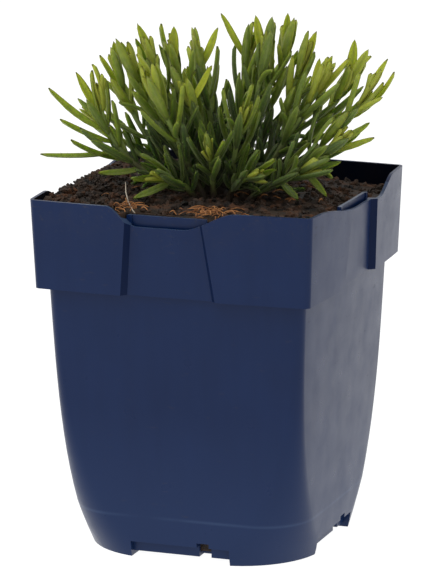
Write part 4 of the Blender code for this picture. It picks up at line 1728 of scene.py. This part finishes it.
@dataclass(frozen=True)
class LeafMesh:
    """The shape of one leaf: a lens of a few dozen faces with a grooved rib and some bristles."""

    across: int = 4
    along: int = 7
    width_share: float = 0.86
    groove: float = 0.16 * MM
    rib: float = 0.42 * MM
    blade: float = 0.20 * MM
    edge_lift: float = 0.42 * MM
    level: float = 0.35
    groove_slope: float = 2.5
    rib_slope: float = 2.2
    crowding: float = 1.25
    petiole: float = 0.42
    base_share: float = 0.45
    tip_share: float = 0.46
    tip_power: float = 0.72
    weld: float = 0.002 * MM
    bristles: int = 9
    bristle_length: float = 0.55 * MM
    bristle_radius: float = 0.035 * MM
    bristle_along: Pair = (0.12, 0.96)
    bristle_across: Pair = (0.1, 0.8)
    # Lean of a bristle and half its foot, as shares of the leaf's length, and its lean outwards
    bristle_lean: float = 0.012
    bristle_foot: float = 0.002
    bristle_out: float = 0.35
    seed: int = 5

    def fullness(self, along: float) -> float:
        """How full the blade is: narrow at its root, blunt and round at its tip.

        Args:
            along: Share of the length.

        Returns:
            The half width there, as a share of the widest.
        """
        base = blend(self.petiole, 1.0, math.sin(clamp(along / self.base_share) * QUARTER))
        tip = clamp((1.0 - along) / self.tip_share)
        return base * max(0.0, 1.0 - (1.0 - tip) ** 2.0) ** self.tip_power

    def dish(self, across: float) -> float:
        """Height of the upper side, without its groove, at this share of the half width."""
        return (across * across - self.level) * self.edge_lift

    def depth(self, across: float, along: float) -> float:
        """How far the underside lies below the upper side, deepest at the rib."""
        inner = clamp(1 - abs(across)) * clamp(4 * along + 0.4) * clamp(6 * (1 - along))
        return (self.blade + self.rib * max(0.0, 1 - self.rib_slope * abs(across))) * min(1.0, 2 * inner)

    def template(self, variant: int) -> bpy.types.Mesh:
        """One flat leaf in its own measure: X from -1 to 1 across, Y from 0 to 1 along, Z in metres.

        Args:
            variant: Number of this leaf, which changes its bristles.

        Returns:
            The mesh, with its rib distance and underside in attributes.
        """
        bm = bmesh.new()
        rib = bm.verts.layers.float.new("from_rib")
        side = bm.verts.layers.float.new("underside")
        bmesh.ops.create_grid(bm, x_segments=self.across, y_segments=self.along, size=1.0)
        for vert in bm.verts:
            across, along = vert.co.x, (vert.co.y + 1) / 2
            along = 1 - (1 - along) ** self.crowding
            vert[rib] = abs(across)
            vert.co = Vector((across, along, self.dish(across) + self.shape_rib(across)))
        upper_faces = list(bm.faces)
        copied = bmesh.ops.duplicate(bm, geom=upper_faces + list(bm.edges) + list(bm.verts))
        under = [item for item in copied["geom"] if isinstance(item, bmesh.types.BMVert)]
        lower_faces = [item for item in copied["geom"] if isinstance(item, bmesh.types.BMFace)]
        bmesh.ops.reverse_faces(bm, faces=lower_faces)
        for vert in under:
            if 0 < vert.co.y < 1 and abs(vert.co.x) < 1:
                vert.co.z -= self.depth(vert.co.x, vert.co.y)
                vert[side] = 1.0
        bmesh.ops.remove_doubles(bm, verts=bm.verts, dist=self.weld)
        bmesh.ops.recalc_face_normals(bm, faces=bm.faces)
        for vert in bm.verts:
            vert.co.x *= self.fullness(vert.co.y)
        for face in bm.faces:
            face.smooth = True
        self.add_bristles(bm, random.Random(self.seed + variant))
        mesh = bpy.data.meshes.new(f"leaf_template_{variant}")
        bm.to_mesh(mesh)
        bm.free()
        return mesh

    def shape_rib(self, across: float) -> float:
        """Depth of the groove over the rib."""
        return -self.groove * max(0.0, 1 - self.groove_slope * abs(across))

    def add_bristles(self, bm: Shape, draw: random.Random) -> None:
        """Sets stiff bristles along the edges and on the upper side, as faces of material 1.

        Args:
            bm: The leaf's shape so far.
            draw: Source of their places.
        """
        for index in range(self.bristles):
            along = draw.uniform(*self.bristle_along)
            edge = index % 3 != 2
            across = (1.0 if index % 2 else -1.0) * (1.0 if edge else draw.uniform(*self.bristle_across))
            place = Vector((across * self.fullness(along), along, self.dish(across)))
            outwards = self.bristle_out * across / MM * self.bristle_length
            lean = Vector((outwards, self.bristle_lean, self.bristle_length * (0.5 if edge else 1.0)))
            base = []
            for corner in range(3):
                angle = 2 * math.pi * corner / 3
                sideways = self.bristle_radius / MM * math.cos(angle) * 0.6
                offset = Vector((sideways, self.bristle_foot * math.sin(angle), 0))
                base.append(bm.verts.new(place + offset))
            tip = bm.verts.new(place + lean)
            faces = [bm.faces.new(reversed(base))]
            faces += [bm.faces.new((base[i], base[(i + 1) % 3], tip)) for i in range(3)]
            bmesh.ops.recalc_face_normals(bm, faces=faces)
            for face in faces:
                face.material_index = 1


@dataclass(frozen=True)
class LeafRange:
    """How far extra leaves vary: place up the stem, spread and curl in degrees, length and width in mm."""

    at: Pair
    spread: Pair
    length: Pair
    width: Pair
    curl: Pair


@dataclass
class Foliage:
    """All leafy stems: the CAD plant's own leaves made finer, with young hearts and fillers between them."""

    rule: GrowthRule
    shape: LeafMesh = LeafMesh()
    stem_sides: int = 7
    stem_steps: int = 14
    heart_leaves: int = 7
    filler_leaves: int = 14
    low_leaves: int = 9
    heart: LeafRange = LeafRange((0.86, 0.99), (4, 22), (6.5, 11), (1.7, 2.3), (-12, 24))
    filler: LeafRange = LeafRange((0.2, 0.88), (24, 58), (9, 14), (2.2, 2.9), (-62, 66))
    low_at: Pair = (0.03, 0.24)
    low_spread: Pair = (40, 84)
    outer_reach: float = 34 * MM
    heart_height: float = 150 * MM
    dark_height: float = 118 * MM
    heart_shading: float = 0.3
    # Painted light and shade: tone of the darkest and the lightest place, and how much height and distance
    # from the middle count
    painted_light_tones: Pair = (-0.66, 0.20)
    height_share: float = 0.58
    outer_share: float = 0.42
    outer_power: float = 1.5
    tone_draw: float = 0.22
    tone_rise: float = 0.16
    tone_middle: float = 0.4
    tip_taper: float = 0.3
    variants: int = 3
    seed: int = 23
    leaf_finish: LeafSkin = LeafSkin()
    stem_finish: StemSkin = StemSkin()
    hair_finish: HairFinish = HairFinish()

    def extra_leaves(self, owner: int, draw: random.Random) -> list[Leaf]:
        """Young leaves of the heart and smaller ones lower down, inside the reach of the CAD's leaves.

        Args:
            owner: Number of the stem.
            draw: Source of their sizes and places.

        Returns:
            The extra leaves.
        """
        shoot = SHOOTS[owner]
        _, curve = self.rule.stems[owner]
        phase = draw.uniform(0, 2 * math.pi)
        found = []
        for index in range(self.heart_leaves + self.filler_leaves + self.low_leaves):
            heart = index < self.heart_leaves
            low = index >= self.heart_leaves + self.filler_leaves
            sort = self.heart if heart else self.filler
            at = draw.uniform(*sort.at)
            at = draw.uniform(*self.low_at) if low else at
            axis = self.rule.curve_direction(*curve, at)
            spread = draw.uniform(*sort.spread)
            spread = draw.uniform(*self.low_spread) if low else spread
            length = shoot.size * draw.uniform(*sort.length) * MM
            width = shoot.size * draw.uniform(*sort.width) * MM
            curl = math.radians(draw.uniform(*sort.curl))
            around = phase + index * self.rule.golden_turn
            root = self.rule.curve_point(*curve, at)
            leaf = self.rule.leaf_on(root, axis, math.radians(spread), around, (length, width, curl))
            kind = LeafKind.HEART if heart else LeafKind.LOW if low else LeafKind.SIDE
            leaf = replace(leaf, kind=kind, share=at)
            if heart or not self.rule.blocked(owner, leaf):
                found.append(leaf)
        return found

    def set_leaf(self, bm: Shape, leaf: Leaf, template: bpy.types.Mesh, tone: float) -> None:
        """Adds one leaf to a stem's bmesh, bent along its own spine.

        Args:
            bm: The stem's shape so far.
            leaf: The leaf's frame.
            template: Its flat shape.
            tone: Its colour, from 0 for old to 1 for young.
        """
        tones = bm.verts.layers.float["tone"]
        before = len(bm.verts)
        bm.from_mesh(template)
        bm.verts.ensure_lookup_table()
        half = leaf.width * self.shape.width_share / 2
        for vert in bm.verts[before:]:
            across, along, rise = vert.co
            centre, side, upper = leaf.station(along)
            vert.co = centre + side * (across * half) + upper * rise
            vert[tones] = clamp(tone + self.tone_rise * (along - self.tone_middle))

    def painted_light(self, leaf: Leaf) -> float:
        """How much lighter or darker a leaf is painted than its kind, as painted light and shade.

        Args:
            leaf: The leaf.

        Returns:
            The change of its tone: painted shade down low in the middle of the plant, and painted light up
                outside it.
        """
        tip = leaf.station(1.0)[0]
        high = clamp((tip.z - self.dark_height) / (self.heart_height - self.dark_height))
        out = clamp(math.hypot(tip.x, tip.y) / self.outer_reach)
        share = self.heart_shading if leaf.kind is LeafKind.HEART else 1.0
        lit = self.height_share * high + self.outer_share * out**self.outer_power
        return share * blend(*self.painted_light_tones, lit)

    def stem(self, owner: int) -> Shape:
        """The bare stem, woody at its foot.

        Args:
            owner: Number of the stem.

        Returns:
            Its shape, with its tone in an attribute.
        """
        path, curve = self.rule.stems[owner]
        shares = even_steps(0.0, 1.0, self.stem_steps)
        line = [path[0]] + [self.rule.curve_point(*curve, share) for share in shares]
        radii = [self.rule.stem_radius]
        radii += [blend(self.rule.stem_radius, self.rule.tip_radius, share) for share in shares]
        radii[-1] *= self.tip_taper
        bm = tube(line, radii, self.stem_sides)
        tones = bm.verts.layers.float.new("tone")
        low = path[1].z
        high = max(low + MM, path[-1].z)
        for vert in bm.verts:
            vert[tones] = clamp((vert.co.z - low) / (high - low)) if vert.co.z > low else 0.0
        for face in bm.faces:
            face.material_index = 2
            face.smooth = True
        return bm

    def build(self) -> int:
        """Builds every leafy stem and lets it stand for its CAD node.

        Returns:
            How many leaves there are in all.
        """
        templates = [self.shape.template(variant) for variant in range(self.variants)]
        materials = [self.leaf_finish.material(), self.hair_finish.material(), self.stem_finish.material()]
        grown = [self.rule.grow(owner) for owner in range(len(SHOOTS))]
        draw = random.Random(self.seed)
        count = 0
        for owner, leaves in enumerate(grown):
            leaves = leaves + self.extra_leaves(owner, draw)
            bm = self.stem(owner)
            for leaf in leaves:
                varied = draw.uniform(-self.tone_draw, self.tone_draw)
                # Tone from kind and draw, plus painted light and shade by place
                tone = leaf.kind.tone(leaf.share) + varied + self.painted_light(leaf)
                self.set_leaf(bm, leaf, templates[draw.randrange(self.variants)], tone)
            piece = new_piece(bm, f"fine_leafy_stem_{owner + 1:02d}")
            finish_piece(piece, materials)
            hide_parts(f"leafy_stem_{owner + 1:02d}")
            count += len(leaves)
        for template in templates:
            bpy.data.meshes.remove(template)
        return count


# Studio


@dataclass
class Studio:
    """White floor, soft light from above, and the photograph's camera."""

    azimuth: float = 20.26
    elevation: float = 12.71
    distance: float = 1.2
    roll: float = -0.25
    target_height: float = 76.96 * MM
    sideways: float = -0.22 * MM
    pixels_per_metre: float = 3220.0
    frame_height: float = 582.0
    sensor: float = 36.0
    floor_half: float = 6.0
    floor_glow: float = 0.98
    floor_colour: float = 0.15
    dome: float = 0.75
    key_power: float = 11.0
    key_size: float = 1.1
    key_place: Triple = (-0.75, -0.55, 1.5)

    def camera(self) -> None:
        """Sets the camera that the photograph was fitted with."""
        azimuth, elevation, roll = (math.radians(a) for a in (self.azimuth, self.elevation, self.roll))
        back = Vector(
            (
                math.sin(azimuth) * math.cos(elevation),
                -math.cos(azimuth) * math.cos(elevation),
                math.sin(elevation),
            )
        )
        right = Vector((math.cos(azimuth), math.sin(azimuth), 0.0))
        top = back.cross(right)
        level, upright = right, top
        right = level * math.cos(roll) + upright * math.sin(roll)
        top = upright * math.cos(roll) - level * math.sin(roll)
        eye = back * self.distance + Vector((0, 0, self.target_height)) + right * self.sideways
        data = bpy.data.cameras.new("camera")
        data.sensor_fit = "VERTICAL"
        data.sensor_height = self.sensor
        data.sensor_width = self.sensor
        data.lens = self.pixels_per_metre * self.distance * self.sensor / self.frame_height
        camera = bpy.data.objects.new("camera", data)
        bpy.context.scene.collection.objects.link(camera)
        camera.matrix_world = Matrix.Translation(eye) @ Matrix((right, top, back)).transposed().to_4x4()
        bpy.context.scene.camera = camera

    def floor(self) -> None:
        """Lays a pale floor, lit so that it reads as plain white paper."""
        bm = bmesh.new()
        bmesh.ops.create_grid(bm, x_segments=1, y_segments=1, size=self.floor_half)
        floor = new_piece(bm, "floor")
        graph = NodeGraph("white paper")
        grey = self.floor_colour
        paper = graph.finished(
            Base_Color=(grey, grey, grey, 1.0),
            Roughness=1.0,
            Specular_IOR_Level=0.0,
            Emission_Color=(1.0, 1.0, 1.0, 1.0),
            Emission_Strength=self.floor_glow,
        )
        floor.data.materials.append(paper)

    def lights(self) -> None:
        """Sets a white dome and one large soft light above and to the left."""
        world = bpy.data.worlds.new("studio")
        world.use_nodes = True
        background = world.node_tree.nodes["Background"]
        background.inputs["Color"].default_value = (1.0, 1.0, 1.0, 1.0)
        background.inputs["Strength"].default_value = self.dome
        bpy.context.scene.world = world
        data = bpy.data.lights.new("key", "AREA")
        data.shape = "DISK"
        data.size = self.key_size
        data.energy = self.key_power
        key = bpy.data.objects.new("key", data)
        bpy.context.scene.collection.objects.link(key)
        place = Vector(self.key_place)
        aim = (place - Vector((0, 0, self.target_height))).to_track_quat("Z", "Y")
        key.matrix_world = Matrix.Translation(place) @ aim.to_matrix().to_4x4()
        bpy.context.scene.view_settings.view_transform = "Standard"

    def build(self) -> None:
        """Sets the whole studio."""
        self.camera()
        self.floor()
        self.lights()


def write_sizes() -> None:
    """Updates the view layer."""
    bpy.context.view_layer.update()


def main() -> None:
    """Builds the studio, pot, peat and foliage in turn."""
    logging.basicConfig(level=logging.INFO, format="%(name)s: %(message)s")
    Studio().build()
    LOG.info("studio set")
    NurseryPot().build()
    peat = Peat()
    peat.build()
    leaves = Foliage(GrowthRule(peat)).build()
    LOG.info("%d leaves on %d stems", leaves, len(SHOOTS))
    write_sizes()


if __name__ == "__main__":
    main()
